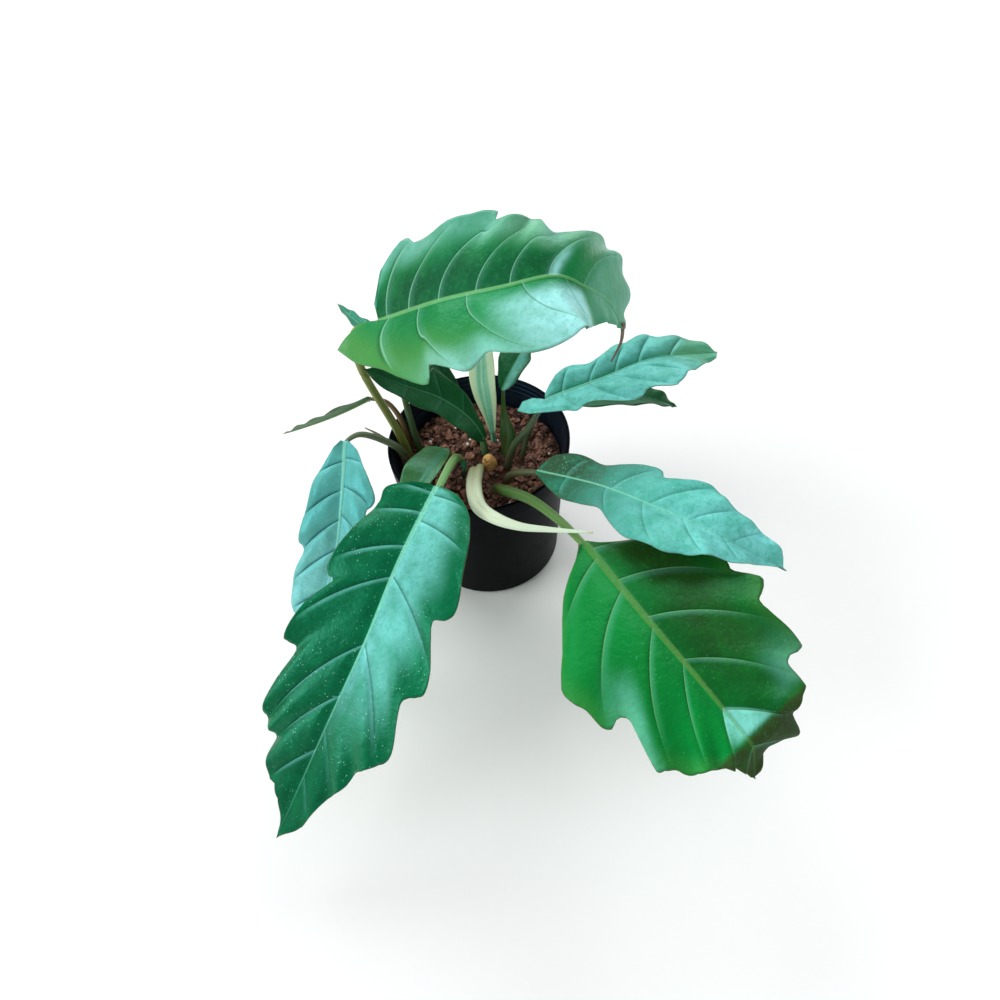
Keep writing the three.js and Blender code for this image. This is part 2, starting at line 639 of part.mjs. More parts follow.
// Soil fills the pot to a low mound; each stem stands in a plain hole in it
function soilSolid(stems) {
  const places = [];
  const ring = (radius, height) => {
    for (let k = 0; k < SOIL_SECTORS; k += 1) {
      const angle = (2 * Math.PI * k) / SOIL_SECTORS;
      const x = radius * Math.cos(angle);
      const y = radius * Math.sin(angle);
      places.push(new THREE.Vector3(x, y, height === undefined ? soilHeight(x, y) : height));
    }
  };
  ring(innerRadius(FLOOR) - 3, FLOOR + FIT_GAP);
  ring(innerRadius(FLOOR + 4) - FIT_GAP - 0.2, FLOOR + 4);
  const edge = innerRadius(SOIL_EDGE_HEIGHT - 2) - FIT_GAP - 0.2;
  for (let i = SOIL_RINGS; i > 0; i -= 1) ring((edge * i) / SOIL_RINGS);
  const triangles = [];
  const rings = SOIL_RINGS + 2;
  for (let i = 0; i < rings - 1; i += 1) {
    for (let k = 0; k < SOIL_SECTORS; k += 1) {
      const a = i * SOIL_SECTORS + k;
      const b = i * SOIL_SECTORS + ((k + 1) % SOIL_SECTORS);
      triangles.push(a, b, a + SOIL_SECTORS, b, b + SOIL_SECTORS, a + SOIL_SECTORS);
    }
  }
  const base = places.length;
  places.push(new THREE.Vector3(0, 0, FLOOR + FIT_GAP), new THREE.Vector3(0, 0, soilHeight(0, 0)));
  const lastRing = (rings - 1) * SOIL_SECTORS;
  for (let k = 0; k < SOIL_SECTORS; k += 1) {
    const next = (k + 1) % SOIL_SECTORS;
    triangles.push(base, next, k, base + 1, lastRing + k, lastRing + next);
  }
  const ground = new THREE.BufferGeometry().setFromPoints(places);
  ground.setIndex(triangles);
  let solid = toSolid(ground);
  for (const stem of stems) solid = solid.subtract(toSolid(rodGeometry(stem, FIT_GAP)));
  return solid;
}

function piece(name, solid, colour, roughness) {
  const material = new THREE.MeshStandardMaterial({ color: colour, roughness, metalness: 0 });
  const mesh = new THREE.Mesh(toGeometry(solid), material);
  mesh.name = name;
  return mesh;
}

const plant = new THREE.Group();
plant.add(piece('pot', potSolid(), COLOURS.pot, 0.45));
const stems = [CATAPHYLL, STRAND, STUB, ...Object.values(LEAVES).map(stalkRod)];
plant.add(piece('soil', soilSolid(stems), COLOURS.soil, 0.95));
plant.add(piece('cataphyll', toSolid(rodGeometry(CATAPHYLL)), COLOURS.cataphyll, 0.6));
plant.add(piece('dry_strand', toSolid(rodGeometry(STRAND)), COLOURS.strand, 0.9));
plant.add(piece('stalk_stub', toSolid(rodGeometry(STUB)), COLOURS.stub, 0.8));
for (const [name, leaf] of Object.entries(LEAVES)) {
  plant.add(piece(name, leafSolid(leaf), COLOURS.leaf, 0.4));
}

export default plant;
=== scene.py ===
import math
import random

import bmesh
import bpy
import numpy as np
from mathutils import Matrix, Vector, noise


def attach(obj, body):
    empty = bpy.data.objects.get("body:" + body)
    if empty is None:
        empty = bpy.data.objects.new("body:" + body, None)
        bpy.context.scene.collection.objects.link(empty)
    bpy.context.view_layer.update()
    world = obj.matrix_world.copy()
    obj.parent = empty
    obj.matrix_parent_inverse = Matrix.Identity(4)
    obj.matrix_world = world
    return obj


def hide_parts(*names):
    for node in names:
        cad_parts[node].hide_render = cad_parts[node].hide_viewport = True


# A philodendron with toothed, arching leaves in a round nursery pot.
# Lengths are millimetres in the part's own frame: origin at the centre of the pot's base,
# +Z up, -Y towards the side where the two largest leaves hang over the rim.

MM = 0.001
TURN = 2 * math.pi
UP = np.array([0.0, 0.0, 1.0])

# Camera: its place and how far it looks down and leans, found from the pot's rim and base
CAMERA_PLACE = (8.84, -285.71, 418.06)
CAMERA_PITCH = 52.8
CAMERA_ROLL = 6.4
CAMERA_LENS = 25.2
SENSOR_WIDTH = 36.0

# Floor that the pot stands on
STAGE_REACH = 6000.0
STAGE_DEPTH = 0.4

# Pot
POT_HEIGHT = 106.0
RIM_RADIUS = 55.0
FOOT_RADIUS = 47.0
WALL = 1.3
FLOOR = 2.4
RIM_BAND = 13.0
RIM_STEP = 2.6
BAND_FOOT = POT_HEIGHT - RIM_BAND
SHOULDER = RIM_RADIUS - RIM_STEP
RIDGE_COUNT = 3
RIDGE_DEPTH = 0.5
CORNER_RADIUS = 0.45
DRAIN_COUNT = 4
DRAIN_RADIUS = 4.0
DRAIN_CIRCLE = 33.0
DRAIN_SEGMENTS = 32
POT_SEGMENTS = 144

# Soil: a low mound, a bed under it that narrows to its foot, and loose lumps on top
SOIL_EDGE_HEIGHT = 85.0
SOIL_MOUND = 4.0
MOUND_RADIUS = 51.0
BED_RADIUS = 49.6
BED_RINGS = 44
BED_SECTORS = 120
SOIL_FOOT = 3.0
SOIL_FOOT_RADIUS = 43.0
LITTER_RADIUS = 49.0
CHIPS = dict(seed=11, count=1100, sizes=(0.7, 2.2), lift=0.1, stretch=(0.7, 1.5), rough=0.8)
PERLITE = dict(seed=23, count=26, sizes=(0.7, 1.3), lift=0.9, stretch=(0.8, 1.1), rough=0.4)

# Blades: the least reach of a margin, the midrib's height, the groove beside it and the keel
# under it, the spread of the groove that a side vein lies in, and how far from the blade's
# base its lobes fan back, as a share of the spine
BLADE_THICKNESS = 0.5
LEAST_REACH = 0.35
RIB_HEIGHT = 0.35
RIB_GROOVE = 0.12
KEEL_DEPTH = 1.7
GROOVE_SPREAD = 1.9
FAN_LENGTH = 0.08

# Mesh of a blade: rows beside each side vein, the last row before the tip and the least gap
# between rows, then columns across the midrib as shares of its half width, and how much wider
# than the rows the columns beyond are
VEIN_ROWS = (0.0, -0.45, 0.45, -1.1, 1.1, -2.1, 2.1, -3.6, 3.6)
LAST_ROW = 0.992
LEAST_ROW_GAP = 0.3
MIDRIB_COLUMNS = (0.0, 0.5, 0.8, 1.1, 1.5)
LEAST_COLUMNS = 7
COLUMN_WIDTH = 1.4

# What most leaves share
USUAL = dict(
    fold=(12, 8, 5), bend=(10,), sweep=(0, 35, 45), fan=0, curve=20, roll=0,
    drift=0, fade=0.7, midrib=(0.9, 0.4), bulge=0.3, row=1.5, sink=0.8,
)

# Each leaf: stalk points from its foot in the soil, stalk radius at foot and blade, spine points
# from blade base to tip, then how the blade is held. Angles are in degrees: heading and roll
# turn the whole blade, fold lifts both halves, bend lets them droop outwards, sweep turns the
# side veins towards the tip, curve turns them further as they run out, fan spreads the lobes
# back. Then the height, count and phase of the margin's waves, and the crease over which the
# tip hangs down. right and left hold the margin: place along the spine (0 to 1), reach of the
# side vein. veins are the places of the side veins, drift is how far they run on towards the
# tip, and fade is where they fade out. midrib is its half width at base and tip, bulge is how
# high the blade swells between veins, row is the mesh's spacing, sink is how deep the stalk's
# end lies, tail is a dry thread at the tip, and tones are the stalk's colours at foot and blade.
LEAVES = {}
LEAVES["leaf_front_left"] = dict(
    USUAL, stalk=((-12, 3, 80), (-15, -14, 105)), thick=(3, 2.4),
    spine=((-24, -52, 128), (-45, -92, 122), (-65, -125, 104), (-90, -157, 78), (-123, -197, 40)),
    fold=(14, 8, 5), sweep=(0, 45, 50), wave=(1.5, 7, 0.1),
    right=(
        (0, 4), (0.01, 12), (0.04, 24), (0.08, 25), (0.16, 32), (0.22, 39), (0.25, 37), (0.27, 33),
        (0.29, 47), (0.33, 59), (0.35, 57), (0.38, 51), (0.4, 52), (0.42, 62), (0.45, 72), (0.5, 67),
        (0.6, 54), (0.66, 44), (0.71, 43), (0.76, 38), (0.81, 31), (0.84, 22), (0.89, 12), (1, 0),
    ),
    left=(
        (0, 3), (0.01, 14), (0.03, 22), (0.05, 27), (0.1, 34), (0.16, 40), (0.21, 46), (0.235, 44),
        (0.26, 38), (0.28, 42), (0.31, 51), (0.34, 55), (0.36, 53), (0.39, 48), (0.41, 47), (0.43, 52),
        (0.45, 60), (0.47, 62), (0.5, 59), (0.56, 52), (0.6, 47), (0.66, 44), (0.72, 37), (0.79, 28),
        (0.85, 22), (0.91, 15), (1, 0),
    ),
    veins_right=(0.02, 0.09, 0.2, 0.3, 0.51, 0.66, 0.8), veins_left=(0.03, 0.118, 0.3, 0.51, 0.753, 0.86),
    drift=0.02, fade=0.6, midrib=(1.7, 0.7), bulge=0.9, sink=1.3, green="satin",
    tones=((110, 146, 70), (140, 206, 140)),
)
LEAVES["leaf_front_right"] = dict(
    USUAL, stalk=((6, -20, 80), (12, -44, 108), (25, -63, 122), (37, -87, 134)), thick=(3.4, 2.6),
    spine=((46, -105, 140), (64, -146, 143), (80, -175, 140), (93, -198, 136), (107, -223, 131)),
    fold_right=(5, 5, 0), fold_left=(0,), bend_right=(10,), bend_left=(4,), sweep_right=(20, 50, 55),
    sweep_left=(-5, 30, 30), curve=15, wave=(1.5, 6, 0.3),
    crease=dict(at=(95, -202, 135), line=33, angle=60, radius=6),
    right=(
        (0, 3), (0.02, 10), (0.035, 20), (0.05, 28), (0.07, 35), (0.1, 46), (0.12, 59), (0.15, 60),
        (0.175, 58), (0.21, 58), (0.23, 55), (0.24, 49), (0.265, 46), (0.285, 50), (0.31, 56), (0.32, 58),
        (0.34, 55), (0.38, 50), (0.4, 49), (0.45, 44), (0.53, 35), (0.61, 27), (0.72, 19), (0.82, 12),
        (0.95, 4), (1, 0),
    ),
    left=(
        (0, 2), (0.02, 7), (0.04, 15), (0.06, 27), (0.09, 37), (0.13, 46), (0.16, 51), (0.18, 51),
        (0.195, 61), (0.215, 60), (0.24, 56), (0.27, 51), (0.295, 52), (0.345, 57), (0.39, 57), (0.415, 52),
        (0.43, 47), (0.46, 43), (0.5, 45), (0.53, 45), (0.59, 38), (0.64, 33), (0.72, 34), (0.82, 33),
        (0.84, 24), (0.85, 16), (0.89, 8), (1, 0),
    ),
    veins_right=(0.06, 0.17, 0.305, 0.448, 0.657, 0.82), veins_left=(0.03, 0.14, 0.27, 0.44, 0.665, 0.82),
    drift=0.1, fade=0.35, midrib=(2.6, 1.2), bulge=0.55, green="bright", tones=((20, 56, 2), (84, 140, 44)),
)
LEAVES["leaf_top"] = dict(
    USUAL, stalk=((-43, 4, 80), (-48, 9, 110), (-61, 21, 150), (-58, 14, 182)), thick=(2.9, 2.2),
    spine=(
        (-40, -8, 205), (-8, -26, 226), (19, -35, 236), (42, -34, 238), (56, -30, 228), (70, -21, 210),
        (79, -13, 187),
    ),
    heading=-5, roll=-20, tail=((79, -13, 191), (79, -12, 178), (75, -11, 165)), fold=(10, 5, 0),
    bend=(15,), sweep_right=(-10, -5, 0, 10, 20, 25, 30), sweep_left=(-10, 0, 5, 15, 25, 35, 50),
    fan_right=-90, curve=50, wave=(1.5, 7, 0),
    right=(
        (0, 14), (0.002, 32), (0.01, 28), (0.03, 26), (0.05, 27), (0.07, 33), (0.1, 38), (0.12, 39),
        (0.13, 36), (0.14, 31), (0.17, 34), (0.21, 38), (0.245, 33), (0.27, 30), (0.3, 33), (0.34, 36),
        (0.39, 34), (0.44, 31), (0.53, 25), (0.62, 20), (0.75, 13), (0.9, 6), (1, 0),
    ),
    left=(
        (0, 8), (0.003, 21), (0.017, 29), (0.03, 36), (0.045, 37), (0.06, 34), (0.1, 35), (0.13, 38),
        (0.17, 40), (0.19, 42), (0.22, 41), (0.235, 36), (0.28, 36), (0.33, 35), (0.41, 30), (0.46, 23),
        (0.49, 25), (0.53, 30), (0.57, 35), (0.615, 39), (0.69, 43), (0.77, 44), (0.84, 38), (0.91, 28),
        (0.96, 14), (1, 0),
    ),
    veins_right=(0.033, 0.113, 0.24, 0.395, 0.55, 0.75),
    veins_left=(0.025, 0.085, 0.163, 0.263, 0.36, 0.48, 0.66), drift=0.22, fade=0.75, midrib=(1.3, 0.6),
    bulge=0.22, row=1.4, green="fresh", tones=((96, 108, 40), (132, 142, 62)),
)
LEAVES["leaf_far_left"] = dict(
    USUAL, stalk=((-41, -4, 80), (-46, -3, 104), (-56, -1, 114), (-68, -1, 121)), thick=(2.5, 1.9),
    spine=((-77, -4, 120), (-81, -36, 106), (-90, -60, 82), (-113, -88, 40)), wave=(1, 5, 0.2),
    right=(
        (0, 2), (0.03, 6), (0.09, 11), (0.17, 17), (0.25, 21), (0.34, 26), (0.42, 29), (0.46, 27),
        (0.5, 27), (0.56, 31), (0.63, 32), (0.71, 31), (0.8, 25), (0.9, 13), (1, 0),
    ),
    left=(
        (0, 2), (0.05, 8), (0.13, 13), (0.2, 19), (0.25, 23), (0.28, 22), (0.31, 19), (0.37, 22),
        (0.45, 26), (0.5, 23), (0.6, 24), (0.7, 22), (0.85, 12), (1, 0),
    ),
    veins_right=(0.12, 0.28, 0.45, 0.62, 0.8), veins_left=(0.1, 0.26, 0.42, 0.6, 0.8), drift=0.06,
    midrib=(1.3, 0.6), bulge=1.3, green="pale", tones=((52, 58, 40), (88, 110, 76)),
)
LEAVES["leaf_right"] = dict(
    USUAL, stalk=((13, -17, 80), (18, -31, 106)), thick=(2.6, 2),
    spine=((31, -42, 120), (60, -71, 138), (83, -97, 149), (106, -115, 149), (137, -128, 132)),
    wave=(1.2, 6, 0.5),
    right=(
        (0, 2), (0.04, 6), (0.09, 12), (0.15, 18), (0.2, 17), (0.25, 17), (0.29, 18), (0.33, 24),
        (0.37, 28), (0.41, 28), (0.45, 29), (0.48, 30), (0.53, 26), (0.56, 25), (0.61, 22), (0.69, 17),
        (0.75, 15), (0.85, 8), (0.93, 3), (1, 0),
    ),
    left=(
        (0, 7), (0.013, 12), (0.07, 14), (0.13, 15), (0.2, 13), (0.24, 15), (0.3, 22), (0.33, 23),
        (0.37, 19), (0.41, 22), (0.44, 27), (0.47, 29), (0.53, 26), (0.61, 22), (0.68, 21), (0.77, 17),
        (0.84, 16), (0.89, 13), (0.93, 8), (1, 0),
    ),
    veins_right=(0.12, 0.273, 0.427, 0.595, 0.76), veins_left=(0.11, 0.29, 0.453, 0.62, 0.8), drift=0.06,
    midrib=(0.8, 0.4), bulge=0.75, green="teal", tones=((70, 56, 40), (50, 62, 34)),
)
LEAVES["leaf_upper_right"] = dict(
    USUAL, stalk=((14, -9, 80), (20, -11, 106), (29, -12, 121)), thick=(2.6, 1.9),
    spine=((40, -8, 140), (71, -7, 150), (102, 2, 152), (142, 12, 142)), sweep=(10, 35, 45), fan_right=-120,
    wave=(1, 5, 0.4),
    right=(
        (0, 7), (0.004, 13), (0.011, 18), (0.02, 15), (0.035, 12), (0.06, 14), (0.1, 19), (0.17, 18),
        (0.23, 21), (0.285, 28), (0.32, 30), (0.35, 28), (0.38, 29), (0.41, 35), (0.45, 34), (0.55, 29),
        (0.76, 18), (0.92, 8), (1, 0),
    ),
    left=(
        (0, 4), (0.02, 8), (0.055, 13), (0.13, 15), (0.24, 14), (0.31, 16), (0.38, 21), (0.48, 20),
        (0.565, 22), (0.65, 19), (0.755, 18), (0.87, 13), (1, 0),
    ),
    veins_right=(0.1, 0.26, 0.4, 0.56, 0.75), veins_left=(0.1, 0.26, 0.42, 0.57, 0.75), drift=0.06,
    midrib=(0.8, 0.3), bulge=1.35, green="teal", tones=((40, 58, 34), (58, 84, 58)),
)
LEAVES["leaf_under_right"] = dict(
    USUAL, stalk=((24, -4, 80), (30, 0, 104), (38, 4, 118)), thick=(1.8, 1.4),
    spine=((50, 5, 124), (80, 3, 126), (104, 3, 120), (121, 4, 109)), fold=(10,), sweep=(10, 40, 45),
    wave=(0.8, 4, 0.1),
    right=((0, 2), (0.08, 7), (0.2, 11), (0.35, 13), (0.45, 11), (0.6, 10), (0.8, 6), (1, 0)),
    left=((0, 2), (0.08, 8), (0.2, 12), (0.35, 14), (0.5, 12), (0.7, 9), (0.85, 5), (1, 0)),
    veins=(0.15, 0.35, 0.55, 0.75), row=2, green="deep", tones=((44, 60, 36), (60, 84, 50)),
)
LEAVES["leaf_left_slim"] = dict(
    USUAL, stalk=((-44, 14, 80), (-45, 17, 106), (-52, 24, 119)), thick=(2, 1.5),
    spine=((-62, 26, 124), (-80, 24, 117), (-99, 26, 108), (-125, 32, 95)), roll=-45, fold=(8,), bend=(8,),
    sweep=(10, 40, 45), wave=(0.6, 4, 0.1),
    right=((0, 2), (0.08, 7), (0.2, 11), (0.35, 13), (0.45, 11), (0.6, 12), (0.8, 7), (1, 0)),
    left=((0, 2), (0.08, 7), (0.2, 11), (0.3, 13), (0.4, 11), (0.55, 12), (0.75, 8), (1, 0)),
    veins=(0.15, 0.3, 0.55, 0.75), row=2, green="teal", tones=((96, 62, 38), (112, 92, 60)),
)
LEAVES["leaf_back_left"] = dict(
    USUAL, stalk=((-37, 10, 80), (-40, 17, 104), (-43, 31, 126)), thick=(2.6, 1.8),
    spine=((-45, 42, 141), (-57, 55, 147), (-69, 70, 150), (-79, 87, 149)), roll=-25, fold=(10,),
    sweep=(10, 40, 45), wave=(0.4, 4, 0.6),
    right=((0, 2), (0.08, 5), (0.25, 8), (0.45, 9), (0.55, 7), (0.7, 6), (0.85, 3), (1, 0)),
    left=((0, 2), (0.08, 5), (0.2, 8), (0.4, 9), (0.5, 7), (0.7, 5), (0.85, 3), (1, 0)),
    veins_right=(0.2, 0.45, 0.7), veins_left=(0.2, 0.4, 0.7), row=2, green="teal",
    tones=((36, 74, 40), (70, 112, 64)),
)
LEAVES["leaf_folded"] = dict(
    USUAL, stalk=((3, 2, 80),), thick=(2.6, 2),
    spine=((4, 2, 101), (-4, 8, 115), (-19, 11, 131), (-39, 7, 149), (-57, 4, 166)), fold_right=(25,),
    fold_left=(-10,), bend=(5,), sweep_right=(20, 45, 50), sweep_left=(0, 20, 25), curve=10,
    wave=(0.6, 4, 0.1),
    right=((0, 2), (0.08, 5), (0.2, 9), (0.35, 15), (0.48, 19), (0.52, 15), (0.7, 13), (0.85, 8), (1, 0)),
    left=((0, 2), (0.06, 8), (0.15, 12), (0.3, 13), (0.6, 12), (0.8, 8), (0.92, 4), (1, 0)),
    veins=(0.12, 0.3, 0.48, 0.7), midrib=(1.1, 0.4), row=1.6, green="deep",
    tones=((52, 96, 60), (60, 120, 80)),
)
LEAVES["leaf_young"] = dict(
    USUAL, stalk=((9, 11, 80),), thick=(1.8, 1.6),
    spine=((9, 9, 98), (8, 9, 121), (7, 10, 142), (8, 13, 162), (9, 20, 180)), fold=(6,),
    sweep=(30, 45, 45), curve=10, wave=(0.3, 3, 0.1),
    right=((0, 2), (0.15, 5), (0.3, 8), (0.5, 10), (0.7, 8), (0.9, 4), (1, 0)),
    left=((0, 2), (0.15, 5), (0.3, 9), (0.5, 11), (0.7, 8), (0.9, 4), (1, 0)), veins=(0.2, 0.4, 0.6, 0.8),
    midrib=(1.6, 0.8), bulge=0.15, row=1.6, green="young", tones=((80, 160, 130), (110, 190, 160)),
)
LEAVES["leaf_rear"] = dict(
    USUAL, stalk=((16, 1, 80), (18, 4, 98), (17, 12, 112)), thick=(4.6, 1.6),
    spine=((17, 15, 128), (22, 17, 138), (29, 20, 149), (41, 27, 166)), fold=(14,), bend=(8,),
    sweep=(20, 40, 45), curve=15, wave=(0.6, 3, 0.1),
    right=((0, 2), (0.1, 8), (0.3, 14), (0.5, 17), (0.6, 14), (0.8, 9), (1, 0)),
    left=((0, 2), (0.1, 8), (0.3, 13), (0.5, 15), (0.7, 11), (0.85, 6), (1, 0)), sheath=True,
    veins=(0.2, 0.4, 0.6, 0.8), midrib=(1, 0.4), row=1.8, green="deep", tones=((8, 56, 2), (54, 100, 28)),
)
LEAVES["leaf_behind"] = dict(
    USUAL, stalk=((-5, 19, 80),), thick=(1.8, 1.4),
    spine=((-7, 26, 102), (-14, 31, 120), (-22, 37, 138), (-29, 45, 150)), fold=(10,), bend=(8,),
    sweep=(20, 40, 45), curve=10, wave=(0.5, 3, 0.5),
    right=((0, 2), (0.15, 5), (0.35, 8), (0.55, 9), (0.75, 7), (1, 0)),
    left=((0, 2), (0.15, 6), (0.35, 9), (0.55, 9), (0.75, 7), (1, 0)), veins=(0.2, 0.45, 0.7), row=2,
    green="deep", tones=((60, 84, 40), (70, 96, 50)),
)
LEAVES["leaf_short"] = dict(
    USUAL, stalk=((-20, 7, 80),), thick=(2.4, 2),
    spine=((-20, -1, 100), (-26, -20, 111), (-35, -36, 112), (-48, -50, 101)), fold=(8,),
    wave=(0.6, 3, 0.1), right=((0, 2), (0.08, 10), (0.2, 13), (0.4, 16), (0.6, 14), (0.8, 9), (1, 0)),
    left=((0, 2), (0.1, 4), (0.25, 6), (0.4, 7), (0.6, 7), (0.8, 5), (1, 0)),
    veins_right=(0.15, 0.35, 0.6, 0.8), veins_left=(0.2, 0.45, 0.7), midrib=(2.6, 1.2), bulge=0.2, row=1.6,
    green="short", tones=((80, 110, 50), (110, 150, 80)),
)
LEAVES["leaf_tiny"] = dict(
    USUAL, stalk=((-10, -14, 80),), thick=(1.2, 1),
    spine=((-9.8, -13.5, 92), (-10.3, -13, 96), (-12, -12.5, 99)), fold=(8,), sweep=(30, 45, 45), curve=10,
    wave=(0, 3, 0.1), right=((0, 1.5), (0.3, 3.5), (0.6, 3), (1, 0)),
    left=((0, 1.5), (0.3, 3.5), (0.6, 3), (1, 0)), veins=(0.4,), midrib=(0.5, 0.3), bulge=0, row=1,
    green="teal", tones=((40, 80, 60), (40, 90, 70)),
)

# What most greens share
USUAL_GREEN = dict(specks=0, rim=0.2, rough=0.42, groove=0.5, mottle=0.2)

# Greens: blade, its deeper colour, which on some halves stands for painted shade, and its lighter patches,
# side veins and the painted shade in and beside their grooves, midrib, the pale colour of painted sheen
# and highlights, and the strength of each marking
GREENS = {}
GREENS["satin"] = dict(
    USUAL_GREEN, blade=(0, 102, 56), deep=(0, 78, 42), light=(0, 126, 76), vein=(70, 160, 120), line=0.45,
    shade=(0, 46, 28), groove=0.6, slope=0.6, rib=(140, 226, 200), mottle=0.3, specks=0.7, rim=0.6,
    rough=0.4, gloss=0.5, pale=(152, 248, 250), tint=(96, 240, 205),
)
GREENS["bright"] = dict(
    USUAL_GREEN, blade=(0, 128, 50), deep=(16, 68, 20), light=(20, 124, 34), vein=(112, 176, 112), line=0.6,
    shade=(6, 52, 22), groove=0.55, slope=0.18, rib=(92, 138, 66), specks=0.12, rim=0.5, rough=0.4,
    gloss=0.35, pale=(150, 246, 234), tint=(96, 240, 160),
)
GREENS["fresh"] = dict(
    USUAL_GREEN, blade=(20, 134, 68), deep=(0, 72, 30), light=(44, 148, 76), vein=(140, 208, 168), line=0.6,
    shade=(8, 76, 42), slope=0.12, rib=(122, 184, 116), rough=0.34, gloss=0.3, pale=(176, 248, 248),
    tint=(110, 240, 205),
)
GREENS["teal"] = dict(
    USUAL_GREEN, blade=(24, 128, 98), deep=(8, 96, 66), light=(40, 150, 120), vein=(96, 178, 146),
    line=0.35, shade=(4, 66, 48), slope=0.7, rib=(132, 200, 166), mottle=0.4, specks=0.6, gloss=0.45,
    pale=(150, 250, 250), tint=(100, 240, 205),
)
GREENS["pale"] = dict(
    USUAL_GREEN, blade=(48, 148, 136), deep=(28, 124, 110), light=(96, 176, 160), vein=(120, 190, 170),
    line=0.3, shade=(4, 70, 62), groove=0.85, slope=0.6, rib=(140, 208, 178), mottle=0.4, specks=0.6,
    gloss=0.7, pale=(160, 238, 238), tint=(110, 240, 255),
)
GREENS["deep"] = dict(
    USUAL_GREEN, blade=(8, 84, 34), deep=(2, 54, 20), light=(22, 104, 54), vein=(60, 120, 84), line=0.15,
    shade=(2, 36, 22), slope=0.3, rib=(70, 130, 90), specks=0.1, rim=0.3, gloss=0.45, pale=(132, 228, 216),
    tint=(150, 240, 200),
)
GREENS["young"] = dict(
    USUAL_GREEN, blade=(232, 255, 204), deep=(120, 216, 170), light=(214, 240, 190), vein=(120, 180, 130),
    line=0.3, shade=(70, 130, 80), groove=0.3, slope=0.1, rib=(60, 206, 176), mottle=0.05, gloss=0.6,
    pale=(214, 255, 238), tint=(176, 250, 255),
)
GREENS["short"] = dict(
    USUAL_GREEN, blade=(54, 112, 44), deep=(34, 86, 34), light=(84, 138, 66), vein=(96, 160, 110), line=0.3,
    shade=(40, 90, 56), groove=0.4, slope=0.2, rib=(44, 116, 86), mottle=0.3, rim=0.4, gloss=0.6,
    pale=(120, 200, 170), tint=(176, 250, 255),
)

# Small stems: points, the radius at even steps along them, and the mesh's sides and ring gap
CATAPHYLL = dict(
    path=(
        (-4, -13, 80), (-3, -16, 96), (-5, -38, 108), (-3, -60, 118), (5, -75, 126),
        (17, -87, 133), (31, -95, 139), (42, -101, 144), (50, -105, 147),
    ),
    radii=(3.8, 4.8, 4.8, 4.4, 3.7, 2.5, 1.6, 1.0, 0.4), sides=26, gap=1.6,
)
STRAND = dict(
    path=((-47, 0.5, 80), (-49.8, 1, 103), (-57, 3, 113), (-66, 6, 119)),
    radii=(0.9, 0.9, 0.8, 0.4), sides=10, gap=1.2,
)
STUB = dict(
    path=((5, -8, 80), (5, -8, 88), (4.6, -8.4, 94), (4.0, -9.0, 97.4)),
    radii=(4.8, 5.0, 4.2, 2.2), sides=20, gap=0.8,
)
TAIL_RADII = (1.1, 0.8, 0.5)
STALK_SIDES = 18
TAIL_SIDES = 8
STALK_RING_GAP = 2.0
LEAST_RINGS = 6

# A stalk runs on under the midrib for a share of the spine, narrowing, and its end lies
# deep enough not to show through the blade
STALK_END = 0.035
STALK_END_RADIUS = 0.35
JOINT_DEPTH = 1.3

# Corners of a twenty-sided ball: one at each end and a ring of five near each
BALL_OUT = 0.894
BALL_UP = 0.447
FIFTH_TURN = 1.2566


# Curves and fades

def rise(low, high, value):
    """Smooth step from 0 at low to 1 at high."""
    q = np.clip((value - low) / (high - low), 0, 1)
    return q * q * (3 - 2 * q)


def fall(low, high, value):
    return 1 - rise(low, high, value)


def bell(value, width):
    """Bell curve: 1 at zero, fading out over the width on both sides."""
    return np.exp(-((value / width) ** 2))


def unit(vectors):
    return vectors / np.maximum(np.linalg.norm(vectors, axis=-1, keepdims=True), 1e-12)


def catmull_rom(a, b, c, d, q):
    square = (2 * a - 5 * b + 4 * c - d) * q**2
    cube = (3 * b - 3 * c + d - a) * q**3
    return 0.5 * (2 * b + (c - a) * q + square + cube)


def along(values, t):
    """Smooth curve through numbers or points spread evenly from 0 to 1."""
    v = np.asarray(values, float)
    t = np.atleast_1d(np.asarray(t, float))
    spans = len(v) - 1
    if spans == 0:
        return np.repeat(v[:1], len(t), 0)
    place = np.clip(t, 0, 1) * spans
    i = np.minimum(place.astype(int), spans - 1)
    q = place - i
    ghosts = np.concatenate([[2 * v[0] - v[1]], v, [2 * v[-1] - v[-2]]])
    if v.ndim > 1:
        q = q[:, None]
    return catmull_rom(ghosts[i], ghosts[i + 1], ghosts[i + 2], ghosts[i + 3], q)


def directions(path, t, step=1e-3):
    return unit(along(path, np.clip(t + step, 0, 1)) - along(path, np.clip(t - step, 0, 1)))


def path_length(path, steps):
    points = along(path, np.linspace(0, 1, steps))
    return float(np.linalg.norm(np.diff(points, axis=0), axis=1).sum())


def reach(margin, t):
    """Reach of the margin at places along the spine."""
    p = np.asarray(margin, float)
    t = np.clip(np.atleast_1d(t), p[0, 0], p[-1, 0])
    i = np.clip(np.searchsorted(p[:, 0], t, side="right") - 1, 0, len(p) - 2)
    q = (t - p[i, 0]) / (p[i + 1, 0] - p[i, 0])
    far = np.concatenate([[2 * p[0, 1] - p[1, 1]], p[:, 1], [0]])
    return np.maximum(catmull_rom(far[i], far[i + 1], far[i + 2], far[i + 3], q), LEAST_REACH)


# How a blade is held

def handed(leaf, name, side):
    """A value for one half of the blade: its own, or the one that both halves share."""
    own = name + ("_right" if side > 0 else "_left")
    return leaf[own] if own in leaf else leaf[name]


def margin_of(leaf, side):
    return leaf["right" if side > 0 else "left"]


